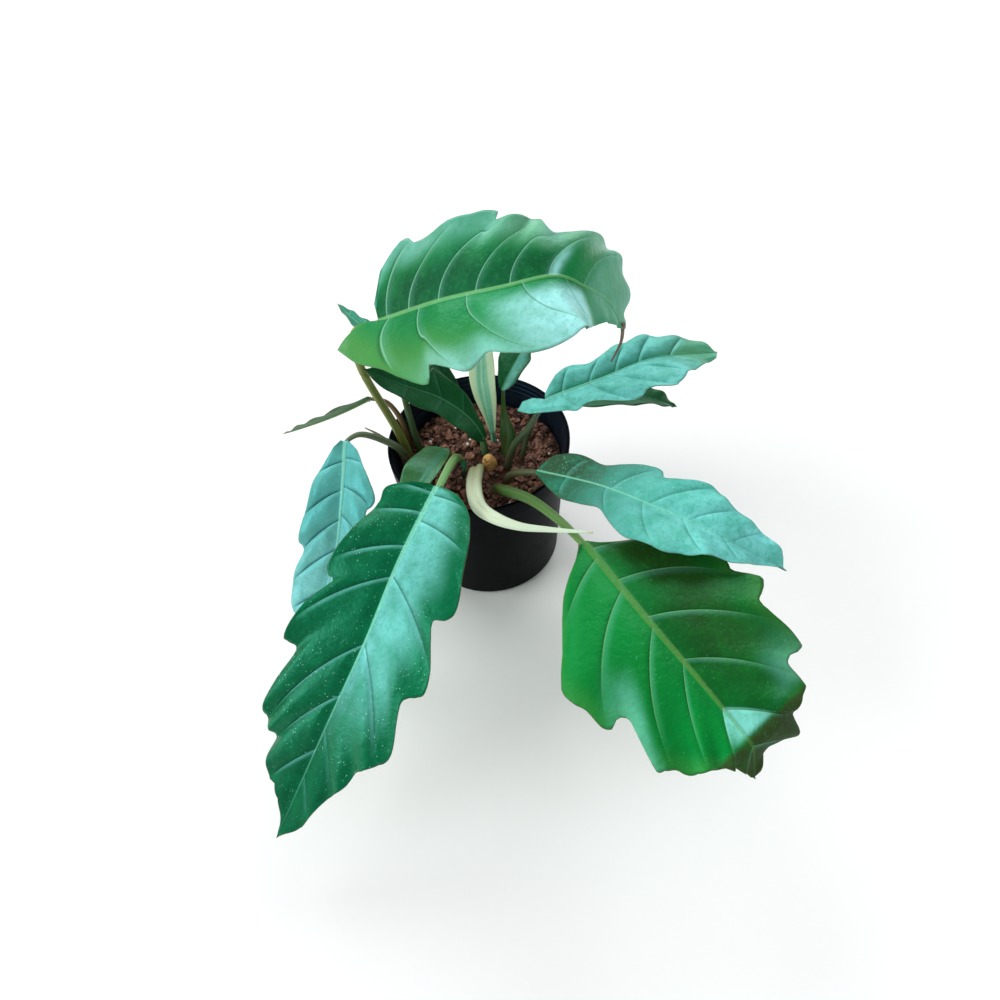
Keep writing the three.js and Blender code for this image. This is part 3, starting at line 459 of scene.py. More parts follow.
def spine_frames(leaf, t):
    """Middle, forward, right and up of the blade at places along its spine."""
    spine = leaf["spine"]
    forward = directions(spine, t)
    heading = math.atan2(spine[-1][1] - spine[0][1], spine[-1][0] - spine[0][0])
    if "heading" in leaf:
        heading = math.radians(leaf["heading"])
    level = np.array([math.sin(heading), -math.cos(heading), 0.0])
    right = unit(level - (forward @ level)[:, None] * forward)
    up = np.cross(right, forward)
    roll = math.radians(leaf["roll"])
    turned_right = right * math.cos(roll) + up * math.sin(roll)
    turned_up = up * math.cos(roll) - right * math.sin(roll)
    return along(spine, t), forward, turned_right, turned_up


def past_crease(leaf, places):
    """Offset from the crease line, the level direction past it, and how far past it lies."""
    line = math.radians(leaf["crease"]["line"])
    beyond = np.array([math.sin(line), -math.cos(line), 0.0])
    offset = places - np.array(leaf["crease"]["at"], float)
    return offset, beyond, offset @ beyond


def creased(leaf, places):
    """Bends what lies beyond a level crease line down in a round arc."""
    if "crease" not in leaf:
        return places
    crease = leaf["crease"]
    offset, beyond, distance = past_crease(leaf, places)
    most = math.radians(crease["angle"])
    radius = crease["radius"]
    along_line = np.array([-beyond[1], beyond[0], 0.0])
    height = offset[..., 2]
    bent = np.clip(distance / radius, 0, most)
    straight = np.clip(distance - radius * most, 0, None)
    out = radius * np.sin(bent) + straight * math.cos(most) + height * np.sin(bent)
    down = radius * (1 - np.cos(bent)) + straight * math.sin(most) - height * np.cos(bent)
    origin = np.array(crease["at"], float)
    moved = origin + (offset @ along_line)[..., None] * along_line + out[..., None] * beyond
    moved[..., 2] = origin[2] - down
    return np.where((distance > 0)[..., None], moved, places)


def blade_places(leaf, t, side, distance, edge):
    """Points of the blade for places along the spine and distances from it, of the same shape."""
    flat_t = t.ravel()
    middle, forward, right, up = (v.reshape(t.shape + (3,)) for v in spine_frames(leaf, flat_t))

    def held(name):
        return along(handed(leaf, name, side), flat_t).reshape(t.shape)

    fan = handed(leaf, "fan", side) * np.clip(1 - t / FAN_LENGTH, 0, 1) ** 2
    sweep = np.radians(held("sweep") + leaf["curve"] * distance / 100 + fan)
    lift = np.radians(held("fold") - held("bend") * distance / 80)
    size, count, phase = leaf["wave"]
    shift = 0.25 if side < 0 else 0.0
    share = np.minimum(distance / np.maximum(edge, 1), 1.5)
    wave = size * np.sin(TURN * (count * t + phase + shift)) * share**2
    flat = distance * np.cos(lift)
    places = (
        middle
        + right * (side * np.cos(sweep) * flat)[..., None]
        + forward * (np.sin(sweep) * flat)[..., None]
        + up * (distance * np.sin(lift) + wave)[..., None]
    )
    return creased(leaf, places)


# Objects

def added(name, data):
    obj = bpy.data.objects.new(name, data)
    bpy.context.scene.collection.objects.link(obj)
    return obj


def new_object(name, verts, faces, materials, smooth=True):
    mesh = bpy.data.meshes.new(name)
    mesh.from_pydata([tuple(v) for v in np.asarray(verts, float) * MM], [], faces)
    for material in materials:
        mesh.materials.append(material)
    if smooth:
        mesh.polygons.foreach_set("use_smooth", [True] * len(mesh.polygons))
    mesh.update()
    return added(name, mesh)


def set_fields(obj, fields):
    """Numbers that belong to each point of a mesh, for its material to read."""
    for name, values in fields.items():
        layer = obj.data.attributes.new(name, "FLOAT", "POINT")
        layer.data.foreach_set("value", np.asarray(values, np.float32))


def set_material_index(obj, indices):
    obj.data.polygons.foreach_set("material_index", np.asarray(indices, np.int32))
    obj.data.update()


def dress(obj, node):
    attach(obj, "root")
    if node:
        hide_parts(node)
    return obj


def capped(rings, first, last):
    """Closed skin over rings of points, with a middle point at each end."""
    sides = len(rings[0])
    verts = np.concatenate(list(rings) + [[first], [last]])
    end = len(rings) * sides
    faces = []
    for start in range(0, end - sides, sides):
        for k in range(sides):
            a, b = start + k, start + (k + 1) % sides
            faces.append((a, b, b + sides, a + sides))
    for k in range(sides):
        n = (k + 1) % sides
        faces.append((end, n, k))
        faces.append((end + 1, end - sides + k, end - sides + n))
    return verts, faces


def circle(radius, height, count):
    angles = [TURN * k / count for k in range(count)]
    return [(radius * math.cos(a), radius * math.sin(a), height) for a in angles]


# Materials

def colour(rgb):
    """Shader colour of a screen colour given in 0 to 255."""
    shares = [v / 255.0 for v in rgb]
    return tuple(v / 12.92 if v <= 0.04045 else ((v + 0.055) / 1.055) ** 2.4 for v in shares) + (1.0,)


class Shader:
    """Adds and links the nodes of one material. Three numbers are a screen colour, 0 to 255."""

    def __init__(self, name):
        self.material = bpy.data.materials.new(name)
        self.material.use_nodes = True
        self.tree = self.material.node_tree
        self.base = None

    def put(self, socket, value):
        if value is None:
            return
        if isinstance(value, bpy.types.NodeSocket):
            self.tree.links.new(value, socket)
        elif isinstance(value, tuple) and len(value) == 3:
            socket.default_value = colour(value)
        else:
            socket.default_value = value

    def node(self, kind, inputs, **settings):
        made = self.tree.nodes.new(kind)
        for key, value in settings.items():
            setattr(made, key, value)
        for key, value in inputs.items():
            self.put(made.inputs[key], value)
        return made.outputs

    def attribute(self, name):
        return self.node("ShaderNodeAttribute", {}, attribute_name=name)["Fac"]

    def math(self, operation, a, b=None, c=None, clamp=False):
        return self.node("ShaderNodeMath", {0: a, 1: b, 2: c}, operation=operation, use_clamp=clamp)[0]

    def times(self, first, *others):
        for other in others:
            first = self.math("MULTIPLY", first, other)
        return first

    def ramp(self, value, low, high, at_low=0.0, at_high=1.0):
        inputs = {0: value, 1: low, 2: high, 3: at_low, 4: at_high}
        return self.node("ShaderNodeMapRange", inputs, interpolation_type="SMOOTHSTEP", clamp=True)[0]

    def band(self, value, middle, near, far, most):
        """Strongest around one value, fading out on both sides of it."""
        gap = self.math("ABSOLUTE", self.math("SUBTRACT", value, middle))
        return self.ramp(gap, near, far, most, 0.0)

    def mix(self, share, a, b):
        return self.node("ShaderNodeMix", {0: share, 6: a, 7: b}, data_type="RGBA")[2]

    def paint(self, tint, *masks):
        """Lays a colour over the base, as strong as the masks multiplied."""
        self.base = self.mix(self.times(*masks), self.base, tint)

    def place(self):
        return self.node("ShaderNodeTexCoord", {})["Object"]

    def noise(self, scale, detail=3.0, roughness=0.5):
        inputs = {"Vector": self.place(), "Scale": scale, "Detail": detail, "Roughness": roughness}
        return self.node("ShaderNodeTexNoise", inputs)["Fac"]

    def cells(self, scale):
        return self.node("ShaderNodeTexVoronoi", {"Vector": self.place(), "Scale": scale})

    def streaks(self, count):
        """Lengthwise streaks around a stalk, as many as the count on each half."""
        turned = self.times(self.attribute("around"), TURN * count)
        return self.math("MULTIPLY_ADD", self.math("SINE", turned), 0.5, 0.5)

    def bump(self, height, distance, strength, normal=None):
        inputs = {"Strength": strength, "Distance": distance, "Height": height, "Normal": normal}
        return self.node("ShaderNodeBump", inputs)[0]

    def finish(self, rough, normal=None, **more):
        shader = self.tree.nodes["Principled BSDF"]
        values = {"Base_Color": self.base, "Roughness": rough, "Normal": normal, **more}
        for key, value in values.items():
            self.put(shader.inputs[key.replace("_", " ")], value)
        return self.material


def specks(s, scale, size, share):
    """Mask of small scattered dots: share is how many of the cells hold one."""
    cells = s.cells(scale)
    split = s.node("ShaderNodeSeparateColor", {0: cells["Color"]})
    width = s.math("MULTIPLY_ADD", split[1], size, size * 0.4)
    dot = s.math("LESS_THAN", cells["Distance"], width)
    return s.times(s.math("LESS_THAN", split[0], share), dot)


def leaf_material(name, green):
    """Upper face of a blade: veins, midrib and margin follow the attributes of its mesh."""
    s = Shader(name)
    patches = s.noise(90.0, 4.0, 0.6)
    fine = s.noise(520.0)
    shade = s.math("MULTIPLY_ADD", s.noise(26.0, 2.0), 0.9, -0.45)
    # Mix towards the deeper colour by the tone field: partly random, partly painted shade on halves that
    # face away from the light
    s.base = s.mix(s.math("ADD", s.attribute("tone"), shade, clamp=True), green["blade"], green["deep"])
    s.paint((104, 160, 72), s.attribute("yellow"))
    s.paint((54, 58, 30), s.attribute("brown"))
    # Painted sheen and painted highlights in the pale colour, with a few pale marks, where the sheen field
    # says
    s.paint(green["pale"], s.attribute("sheen_and_pale_marks"), s.ramp(s.noise(140.0), 0.3, 0.7, 0.75, 1.0))
    s.paint(green["light"], s.ramp(patches, 0.45, 0.7), green["mottle"])
    s.paint(green["light"], s.ramp(fine, 0.5, 0.7), green["mottle"])
    side_veins(s, green)
    rib = s.mix(s.times(fine, 0.6), green["rib"], s.base)
    s.paint(rib, s.ramp(s.attribute("mid"), 0.6, 1.05, 1.0, 0.0), s.attribute("rib_show"))
    if green["specks"]:
        dots = s.math("MAXIMUM", specks(s, 420.0, 0.12, 0.3), specks(s, 800.0, 0.18, 0.4))
        clusters = s.ramp(s.noise(60.0), 0.42, 0.62, 0.1, 1.0)
        s.paint((160, 232, 204), dots, clusters, green["specks"])
    s.paint((84, 84, 46), s.ramp(s.attribute("rim"), 0.1, 0.6, green["rim"], 0.0))
    rough = s.math("MULTIPLY_ADD", patches, 0.12, green["rough"] - 0.06)
    rough = s.math("MULTIPLY_ADD", s.attribute("dull"), 0.45, rough, clamp=True)
    relief = s.bump(fine, 0.0003, 0.6, s.bump(patches, 0.0016, 0.5))
    return s.finish(
        rough, relief, IOR=1.6, Specular_IOR_Level=green["gloss"], Specular_Tint=green["tint"]
    )


def side_veins(s, green):
    """A fine pale line, a dark line of painted shade in the groove beside it, and soft painted shade and
    painted highlight on the slopes.
    """
    gap = s.attribute("vein")
    shown = s.attribute("vein_show")
    # Painted shade on the slope before each vein, and painted highlight in the pale colour on the slope
    # past it
    shaded = s.ramp(gap, -3.2, -0.2, 0.0, green["slope"] * green["groove"])
    s.paint(green["shade"], shaded, s.ramp(gap, -0.1, 0.3, 1.0, 0.0), shown)
    lit = s.ramp(gap, 0.3, 3.4, green["slope"] * green["line"], 0.0)
    s.paint(green["pale"], lit, s.ramp(gap, 0.0, 0.3), shown)
    # Painted shade: a dark line in the vein's groove
    s.paint(green["shade"], s.band(gap, -0.2, 0.1, 0.7, green["groove"]), shown)
    s.paint(green["vein"], s.band(gap, 0.2, 0.08, 0.36, green["line"]), shown)


def underside_material(name, green):
    s = Shader(name)
    s.base = s.mix(s.noise(60.0), s.mix(0.5, green["blade"], (112, 146, 92)), (84, 120, 72))
    s.paint((140, 170, 110), s.band(s.attribute("vein"), 0.0, 0.2, 0.5, 0.5))
    s.paint((134, 158, 96), s.ramp(s.attribute("mid"), 0.9, 1.4, 0.9, 0.0))
    s.paint((96, 84, 48), s.ramp(s.attribute("rim"), 0.1, 0.8, 0.8, 0.0))
    return s.finish(0.55, s.bump(s.noise(500.0, 2.0), 0.0002, 0.6), Specular_IOR_Level=0.3)


def stalk_material(name, foot, neck, rib):
    """Stalk whose colour runs from its foot to the midrib's, with fine lengthwise streaks."""
    s = Shader(name)
    length = s.attribute("length")
    s.base = s.mix(length, foot, neck)
    s.paint(rib, s.ramp(length, 0.78, 0.9))
    s.paint((172, 196, 140), s.streaks(9), s.noise(90.0, 2.0), 0.22)
    s.paint((96, 66, 44), s.ramp(length, 0.0, 0.35, 0.55, 0.0), s.ramp(s.noise(120.0), 0.4, 0.65))
    # Painted shade: darker along the channel on the stalk's upper side
    s.paint((40, 52, 22), s.attribute("channel"), 0.3)
    return s.finish(0.42, s.bump(s.noise(600.0, 2.0), 0.0002, 0.5), Specular_IOR_Level=0.45)


def pot_material():
    s = Shader("pot_plastic")
    dust = s.ramp(s.noise(55.0, 5.0, 0.65), 0.52, 0.75)
    s.base = s.mix(s.times(dust, 0.25), (5, 6, 7), (22, 21, 20))
    s.paint((50, 52, 54), s.ramp(s.noise(900.0, 2.0), 0.62, 0.72), 0.08)
    # Painted reflection: the inner wall tinted blue
    s.paint((16, 26, 38), s.attribute("inside"))
    rough = s.math("MULTIPLY_ADD", dust, 0.15, 0.42)
    grain = s.bump(s.noise(1400.0, 2.0), 0.0001, 0.5)
    return s.finish(rough, grain, Specular_IOR_Level=0.03, Specular_Tint=(170, 205, 255))


def inner_wall_material():
    """The pot's inner wall, smoother than its outside, tinted blue as a painted reflection."""
    s = Shader("pot_inner")
    s.base = s.mix(s.times(s.ramp(s.noise(120.0, 4.0), 0.5, 0.7), 0.4), (14, 24, 36), (40, 48, 54))
    return s.finish(0.38, Specular_IOR_Level=0.6, Specular_Tint=(140, 200, 255))


def soil_material():
    s = Shader("soil_bed")
    grain = s.noise(260.0, 5.0, 0.7)
    s.base = s.mix(s.ramp(grain, 0.35, 0.65), (38, 24, 18), (98, 60, 46))
    height = s.math("ADD", s.cells(330.0)["Distance"], grain)
    return s.finish(0.95, s.bump(height, 0.0012, 0.9))


def chip_material():
    s = Shader("coco_chip")
    grain = s.noise(700.0, 4.0, 0.7)
    shade = s.math("MULTIPLY_ADD", grain, 0.7, -0.35)
    s.base = s.mix(s.math("ADD", s.attribute("tone"), shade, clamp=True), (54, 34, 28), (156, 110, 90))
    return s.finish(0.9, s.bump(grain, 0.0005, 0.9))


def perlite_material():
    s = Shader("perlite")
    s.base = s.mix(s.noise(500.0), (214, 214, 206), (250, 250, 248))
    return s.finish(0.8, s.bump(s.cells(1500.0)["Distance"], 0.0003, 0.8))


def sheath_material():
    s = Shader("sheath")
    length = s.attribute("length")
    s.base = s.mix(length, (214, 218, 186), (206, 230, 204))
    s.paint((150, 170, 140), s.streaks(12), 0.16)
    s.paint((128, 130, 78), s.ramp(length, 0.05, 0.38, 0.9, 0.0))
    s.paint((170, 150, 110), s.ramp(length, 0.93, 1.0, 0.0, 0.6))
    return s.finish(0.5, s.bump(s.noise(500.0, 2.0), 0.0002, 0.5), Specular_IOR_Level=0.35)


def stub_material():
    s = Shader("old_stub")
    s.base = s.mix(s.noise(220.0, 4.0), (186, 126, 56), (232, 190, 120))
    s.paint((104, 62, 34), s.ramp(s.noise(420.0, 4.0), 0.55, 0.7))
    return s.finish(0.75, s.bump(s.noise(600.0, 4.0), 0.0005, 0.8))


def fibre_material():
    s = Shader("dry_fibre")
    s.base = s.mix(s.noise(300.0), (84, 64, 52), (168, 148, 128))
    return s.finish(0.9, s.bump(s.noise(900.0), 0.0003, 0.8))


# Blades

def veins_drift(leaf, u):
    """How far along the spine a side vein runs on between the midrib and the margin."""
    return leaf["drift"] * (1 - (1 - u) ** 5) * (1 - u)


def stations(leaf, length):
    """Rows along the midrib: close together beside each side vein and at each tooth."""
    wanted = [v + d / length for side in (1, -1) for v in handed(leaf, "veins", side) for d in VEIN_ROWS]
    probe = np.linspace(0, 1, 400)
    ends = probe + veins_drift(leaf, probe)
    wanted += [np.interp(t, ends, probe) for side in (1, -1) for t, _ in margin_of(leaf, side)]
    wanted += list(np.linspace(0, 1, int(length / leaf["row"])))
    chosen = [0.0]
    for t in wanted:
        near = min(abs(t - other) for other in chosen)
        if 0 < t < LAST_ROW and near > LEAST_ROW_GAP / length:
            chosen.append(t)
    return np.array(sorted(chosen))


def vein_fields(veins, t, length):
    """Signed distance in mm to the nearest side vein, and how far between two veins a row is."""
    places = np.array(veins)
    nearest = places[np.abs(t[:, None] - places[None, :]).argmin(1)]
    knots = np.concatenate([[0.0], places, [1.0]])
    passed = np.interp(t, knots, np.arange(len(knots)))
    return (t - nearest) * length, passed - np.floor(passed)


def half_grid(leaf, t, side, length):
    """Points and fields of one half of the blade, midrib first."""
    start_edge = reach(margin_of(leaf, side), t)[:, None]
    at_base, at_tip = leaf["midrib"]
    width = (at_base + (at_tip - at_base) * t)[:, None]
    columns = max(LEAST_COLUMNS, int(np.max(start_edge) / (leaf["row"] * COLUMN_WIDTH)))
    near = np.array([MIDRIB_COLUMNS])
    far = np.linspace(0, 1, columns + 1)[None, 1:] ** 0.9
    inner = np.minimum(near * width, 0.24 * near * start_edge)
    start = inner[:, -1:]
    share = start / start_edge + (1 - start / start_edge) * far
    place = t[:, None] + veins_drift(leaf, t)[:, None] * share**2
    outer_edge = reach(margin_of(leaf, side), place.ravel()).reshape(place.shape)
    distance = np.concatenate([inner, start + (outer_edge - start) * far], 1)
    edge = np.concatenate([np.repeat(start_edge, near.shape[1], 1), outer_edge], 1)
    place = np.concatenate([np.repeat(t[:, None], near.shape[1], 1), place], 1)
    places = blade_places(leaf, place, side, distance, edge)

    gap, between = vein_fields(handed(leaf, "veins", side), t, length)
    share = distance / edge
    shown = fall(leaf["fade"], 0.98, share) * np.clip(edge / 12, 0, 1)
    beyond = past_crease(leaf, places)[2] if "crease" in leaf else np.full(share.shape, -99.0)

    def whole(values):
        return np.broadcast_to(values[:, None], share.shape)

    fields = dict(
        mid=distance / width,
        rim=edge - distance,
        vein=whole(gap),
        vein_show=shown * fall(3.4, 4.6, np.abs(gap))[:, None],
        keel=bell(distance, 1.25 * width) * (1 - 0.8 * t[:, None]),
        rib_show=whole(np.clip((1.02 - t) / 0.5, 0, 0.95)),
        beyond=beyond,
        relief=blade_relief(leaf["bulge"], gap, between, distance, width, edge),
        share=share,
        t=place,
        side=np.full(share.shape, float(side)),
        u=whole(t),
    )
    return places, fields


def blade_relief(bulge, gap, between, distance, width, edge):
    """Swell of the blade between the grooves of its side veins, and the rounded midrib."""
    inside = rise(0, 9, distance - width) * (1 - 0.75 * rise(0.7, 1.0, distance / edge))
    inside = inside * np.clip(edge / 25, 0, 1)
    pillow = np.clip(np.sin(np.pi * between**0.85), 0, 1)
    groove = 1 - np.exp(-np.abs(gap) / GROOVE_SPREAD)
    relief = bulge * (0.6 * pillow + groove)[:, None] * inside
    band = np.clip(distance / width, 0, 2)
    return relief + RIB_HEIGHT * (1 - band) * (band < 1) - RIB_GROOVE * bell(band - 1.3, 0.3)


def grid_normals(places):
    return unit(np.cross(np.gradient(places, axis=1), np.gradient(places, axis=0)))


def grid_faces(rows, columns):
    """Faces of a blade's grid of points and of the fan that closes it at the tip."""
    starts = [i * columns + j for i in range(rows - 1) for j in range(columns - 1)]
    faces = [(a, a + 1, a + columns + 1, a + columns) for a in starts]
    last = (rows - 1) * columns
    return faces + [(last + j, last + j + 1, rows * columns) for j in range(columns - 1)]


def grid_border(rows, columns):
    """Points around the grid: base, right margin, tip, left margin."""
    right = [i * columns + columns - 1 for i in range(1, rows)]
    left = [i * columns for i in range(rows - 1, 0, -1)]
    return list(range(columns)) + right + [rows * columns] + left


def blade_mesh(leaf):
    """Closed blade: verts, faces, fields and the material index of each face."""
    length = path_length(leaf["spine"], 200)
    t = stations(leaf, length)
    right, right_fields = half_grid(leaf, t, 1, length)
    left, left_fields = half_grid(leaf, t, -1, length)

    def joined(left_half, right_half):
        return np.concatenate([left_half[:, :0:-1], right_half], 1)

    places = joined(left, right)
    fields = {key: joined(left_fields[key], right_fields[key]) for key in right_fields}
    normals = grid_normals(places)
    rows, columns = places.shape[:2]
    tip = creased(leaf, along(leaf["spine"], 1.0))
    top = np.concatenate([(places + normals * fields["relief"][..., None]).reshape(-1, 3), tip])
    depth = BLADE_THICKNESS * np.clip(0.4 + fields["rim"] / 4, 0.4, 1) + KEEL_DEPTH * fields["keel"]
    under = places + normals * (fields["relief"] * 0.7 - depth)[..., None]
    tip_under = tip - normals[-1, columns // 2] * BLADE_THICKNESS / 2
    verts = np.concatenate([top, under.reshape(-1, 3), tip_under])

    count = len(top)
    faces = grid_faces(rows, columns)
    top_faces = len(faces)
    faces += [tuple(v + count for v in reversed(face)) for face in faces]
    border = grid_border(rows, columns)
    faces += [(b, a, a + count, b + count) for a, b in zip(border, border[1:] + border[:1])]
    indices = [0] * top_faces + [1] * (len(faces) - top_faces)
    flat = {}
    for key, values in fields.items():
        at_tip = {"t": 1.0, "u": 1.0, "mid": 2.0, "beyond": values[-1, 0]}.get(key, 0.0)
        flat[key] = np.tile(np.append(values.reshape(-1), at_tip), 2)
    return verts, faces, flat, indices


# Stalks and other rods

def rod_mesh(path, radii, sides, ring_gap, shape=None):
    """Closed rod along a smooth path; shape changes the radius round it and along it."""
    rings = max(LEAST_RINGS, int(path_length(path, 120) / ring_gap))
    t = np.linspace(0, 1, rings + 1)
    centre = along(path, t)
    forward = directions(path, t)
    radius = along(radii, t)
    lean = forward[-1] * (1, 1, 0)
    around = np.arange(sides) / sides
    skin = []
    for i in range(rings + 1):
        # The top of the rod is the side away from the ground, or towards the plant's middle
        top = UP - forward[i] * forward[i, 2]
        top = top - 0.35 * abs(forward[i, 2]) * lean
        top = top - forward[i] * (forward[i] @ top)
        top = top / max(np.linalg.norm(top), 1e-6)
        side = np.cross(forward[i], top)
        far = np.full(sides, radius[i])
        if shape:
            far = far * shape(around, t[i])
        turned = np.cos(TURN * around)[:, None] * top + np.sin(TURN * around)[:, None] * side
        skin.append(centre[i] + far[:, None] * turned)
    verts, faces = capped(skin, centre[0], centre[-1])
    turn = np.concatenate([np.tile(np.abs(around - 0.5) * 2, rings + 1), [0.0, 0.0]])
    fields = dict(
        length=np.concatenate([np.repeat(t, sides), [0.0, 1.0]]),
        around=turn,
        channel=np.clip((turn - 0.82) / 0.18, 0, 1),
    )
    return verts, faces, fields


def channelled(around, t):
    """A stalk's cross-section: rounded, with a shallow channel on its upper side."""
    off = np.minimum(around, 1 - around)
    channel = 0.22 * bell(off, 0.07) * (0.4 + 0.6 * min(t * 3, 1))
    return 1 - channel + 0.06 * np.cos(2 * TURN * around)


def sheathed(around, t):
    """The same, spread sideways into a sheath over its lower part."""
    return channelled(around, t) * (1 + 0.9 * bell(t - 0.32, 0.2) * np.sin(TURN * around) ** 2)


def flattened(around, t):
    """Cross-section of the cataphyll: broad, with a hollow on its upper side."""
    off = np.minimum(around, 1 - around)
    return 0.98 - 0.2 * np.abs(np.cos(TURN * around)) - 0.45 * bell(off, 0.12) * fall(0.75, 1.0, t)


def knobbly(around, t):
    broad = 0.05 * np.sin(TURN * (around * 3 + t * 1.3))
    return 0.94 + broad + 0.04 * np.sin(TURN * (around * 5 - t * 4))


def rod_piece(name, rod, shape, material, node):
    verts, faces, fields = rod_mesh(rod["path"], rod["radii"], rod["sides"], rod["gap"], shape)
    piece = new_object(name, verts, faces, [material])
    set_fields(piece, fields)
    return dress(piece, node)


# Where each blade is deeper, yellower, browner, duller or paler, from its own growth directions.
# Paler is painted sheen and painted highlight, with a few pale marks, and on some halves deeper is
# painted shade. t runs from base to tip, u too but straight across the midrib, share from midrib to margin,
# right is whether a point is on the right half, and beyond is how far past the crease it lies

def paint_top(t, share, right, **_):
    crest = rise(0.45, 0.95, share) * rise(0.2, 0.42, t)
    lobe = rise(0.15, 0.8, share) * fall(0.12, 0.4, t)
    end = rise(0.64, 0.72, t)
    yellow = np.where(right, 0.45 * lobe, 0.7 * crest * fall(0.6, 0.8, t))
    tone = np.where(right, 0.15, 0.9 - 0.7 * rise(0.25, 0.85, share)) * fall(0.46, 0.56, t)
    # Painted sheen on the right half and upper margin, and a painted highlight along the crest, all in the
    # pale colour
    lower_sheen = rise(0.26, 0.42, t) * fall(0.6, 0.68, t) * rise(0.05, 0.35, share)
    crest_highlight = bell(t - 0.5 - 0.05 * share, 0.02) * fall(0.3, 0.7, share)
    low = 0.5 * rise(0.06, 0.2, t) * rise(0.55, 0.95, share) * fall(0.56, 0.7, t)
    upper = np.maximum(0.4 * crest + 0.75 * crest_highlight, 0.35 * (1 - t) * rise(0.5, 0.9, share))
    sheen_and_pale_marks = np.maximum(np.where(right, np.maximum(lower_sheen, low), upper), 0.22 * end)
    dull = np.where(right, 0, 0.5 * fall(0.3, 0.6, share))
    return dict(
        yellow=np.maximum(yellow, 0.12 * end * (1 - 0.6 * share)),
        tone=tone,
        sheen_and_pale_marks=np.clip(sheen_and_pale_marks, 0, 1),
        dull=np.maximum(dull, 0.5 * rise(0.64, 0.7, t)),
    )


def paint_front_right(t, u, share, right, beyond, **_):
    inward = fall(0.1, 0.9, np.abs(share - 0.5) * 2)
    dull = rise(-0.5, 1.5, beyond)
    brown = np.maximum(0.9 * dull, np.where(right, 0, 0.3 * inward * fall(0.3, 0.6, t)))
    # Painted highlight just before the crease, and painted sheen patches near the margins
    crease_highlight = rise(0.652, 0.662, u) * fall(-1.5, 0.5, beyond) * fall(0.3, 0.75, share)
    near = 0.3 * rise(0.5, 0.9, share) * rise(0.15, 0.22, u) * fall(0.25, 0.3, u)
    far = 0.25 * rise(0.6, 0.95, share) * rise(0.3, 0.5, t)
    return dict(
        # The deeper tone on the left half is painted shade
        tone=np.where(right, 0.1, 0.7 + 0.3 * inward * (1 - t)),
        yellow=0.15 * rise(0.8, 1.0, share),
        dull=dull,
        brown=brown,
        sheen_and_pale_marks=np.maximum(0.65 * crease_highlight, np.where(right, near, far) * fall(-6, 0, beyond)),
    )


def paint_front_left(t, share, right, vein_show, **_):
    # Painted sheen on the left half, which faces the light, and painted shade as a deeper tone on the right
    # half; deeper towards the tip
    wide = 0.5 * fall(0.4, 0.72, t) * fall(0.35, 0.85, share)
    narrow = 0.6 * fall(0.08, 0.34, share) * fall(0.5, 0.8, t)
    return dict(
        sheen_and_pale_marks=np.where(right, 0, np.maximum(wide, narrow)),
        vein_show=vein_show * (1 - np.where(right, 0.2, 0.7) * rise(0.6, 0.8, t)),
        tone=np.where(right, 0.5, 0.3) + 0.5 * rise(0.65, 0.85, t),
        dull=0.9 * rise(0.68, 0.85, t),
    )


def paint_far_left(t, **_):
    # Painted sheen over the whole blade, stronger towards the tip
    return dict(sheen_and_pale_marks=0.25 + 0.5 * rise(0.3, 0.8, t))


def paint_right(t, share, right, vein_show, **_):
    # Painted sheen beyond the base, and pale flecks near the tip on the left half
    sheen_and_pale_marks = (0.34 + 0.3 * rise(0.3, 0.75, t)) * rise(0.12, 0.4, t)
    fleck = 0.9 * rise(0.7, 0.78, t) * fall(0.86, 0.92, t) * rise(0.3, 0.7, share)
    return dict(
        brown=np.where(right, 0.5, 0.8) * fall(0.15, 0.42, t),
        tone=0.4 + 0.6 * fall(0.15, 0.45, t),
        dull=0.5 * fall(0.15, 0.4, t),
        sheen_and_pale_marks=np.maximum(sheen_and_pale_marks, np.where(right, 0, fleck)),
        vein_show=0.45 * vein_show,
    )


def paint_upper_right(t, share, right, vein_show, **_):
    # Painted sheen on the right half and towards the left margin
    outward = rise(0.0, 0.4, share)
    return dict(
        sheen_and_pale_marks=np.where(right, 0.6, 0.56 * outward) * (1 - 0.7 * rise(0.6, 0.85, t)),
        tone=np.where(right, 0.4, 0.9 - 0.5 * outward),
        yellow=0.45 * rise(0.6, 0.85, t),
        vein_show=np.where(right, 0.3, 1) * vein_show,
    )


def paint_young(t, share, right, vein_show, **_):
    """Pale lengthwise stripes over the middle of each half."""
    stripes = 0.5 + 0.5 * np.sin(np.where(right, 10, 8) * share + 1.2 + 2 * t)
    middle = fall(0.45, 0.8, share)
    return dict(
        sheen_and_pale_marks=0.65 * stripes * middle,
        tone=0.95 * (1 - stripes) * middle,
        vein_show=0.2 * vein_show,
    )


def paint_rear(share, right, vein_show, **_):
    # Painted sheen on the right half
    sheen_and_pale_marks = np.where(right, 0.6 * fall(0.5, 1.0, share), 0)
    return dict(sheen_and_pale_marks=sheen_and_pale_marks, vein_show=0.3 * vein_show)


PAINTERS = {
    "leaf_top": paint_top,
    "leaf_front_right": paint_front_right,
    "leaf_front_left": paint_front_left,
    "leaf_far_left": paint_far_left,
    "leaf_right": paint_right,
    "leaf_upper_right": paint_upper_right,
    "leaf_young": paint_young,
    "leaf_rear": paint_rear,
}
MARKS = ("yellow", "brown", "sheen_and_pale_marks", "dull")
ROD_FIELDS = ("length", "around", "channel")
SHOWN_FIELDS = ("mid", "rim", "vein", "vein_show", "rib_show", "tone") + MARKS + ROD_FIELDS


def painted(name, fields):
    count = len(fields["t"])
    marks = {key: np.zeros(count) for key in MARKS}
    marks["tone"] = np.full(count, 0.4)
    if name in PAINTERS:
        marks.update(PAINTERS[name](right=fields["side"] > 0, **fields))
    marks["tone"] = np.clip(marks["tone"], 0, 1)
    return marks


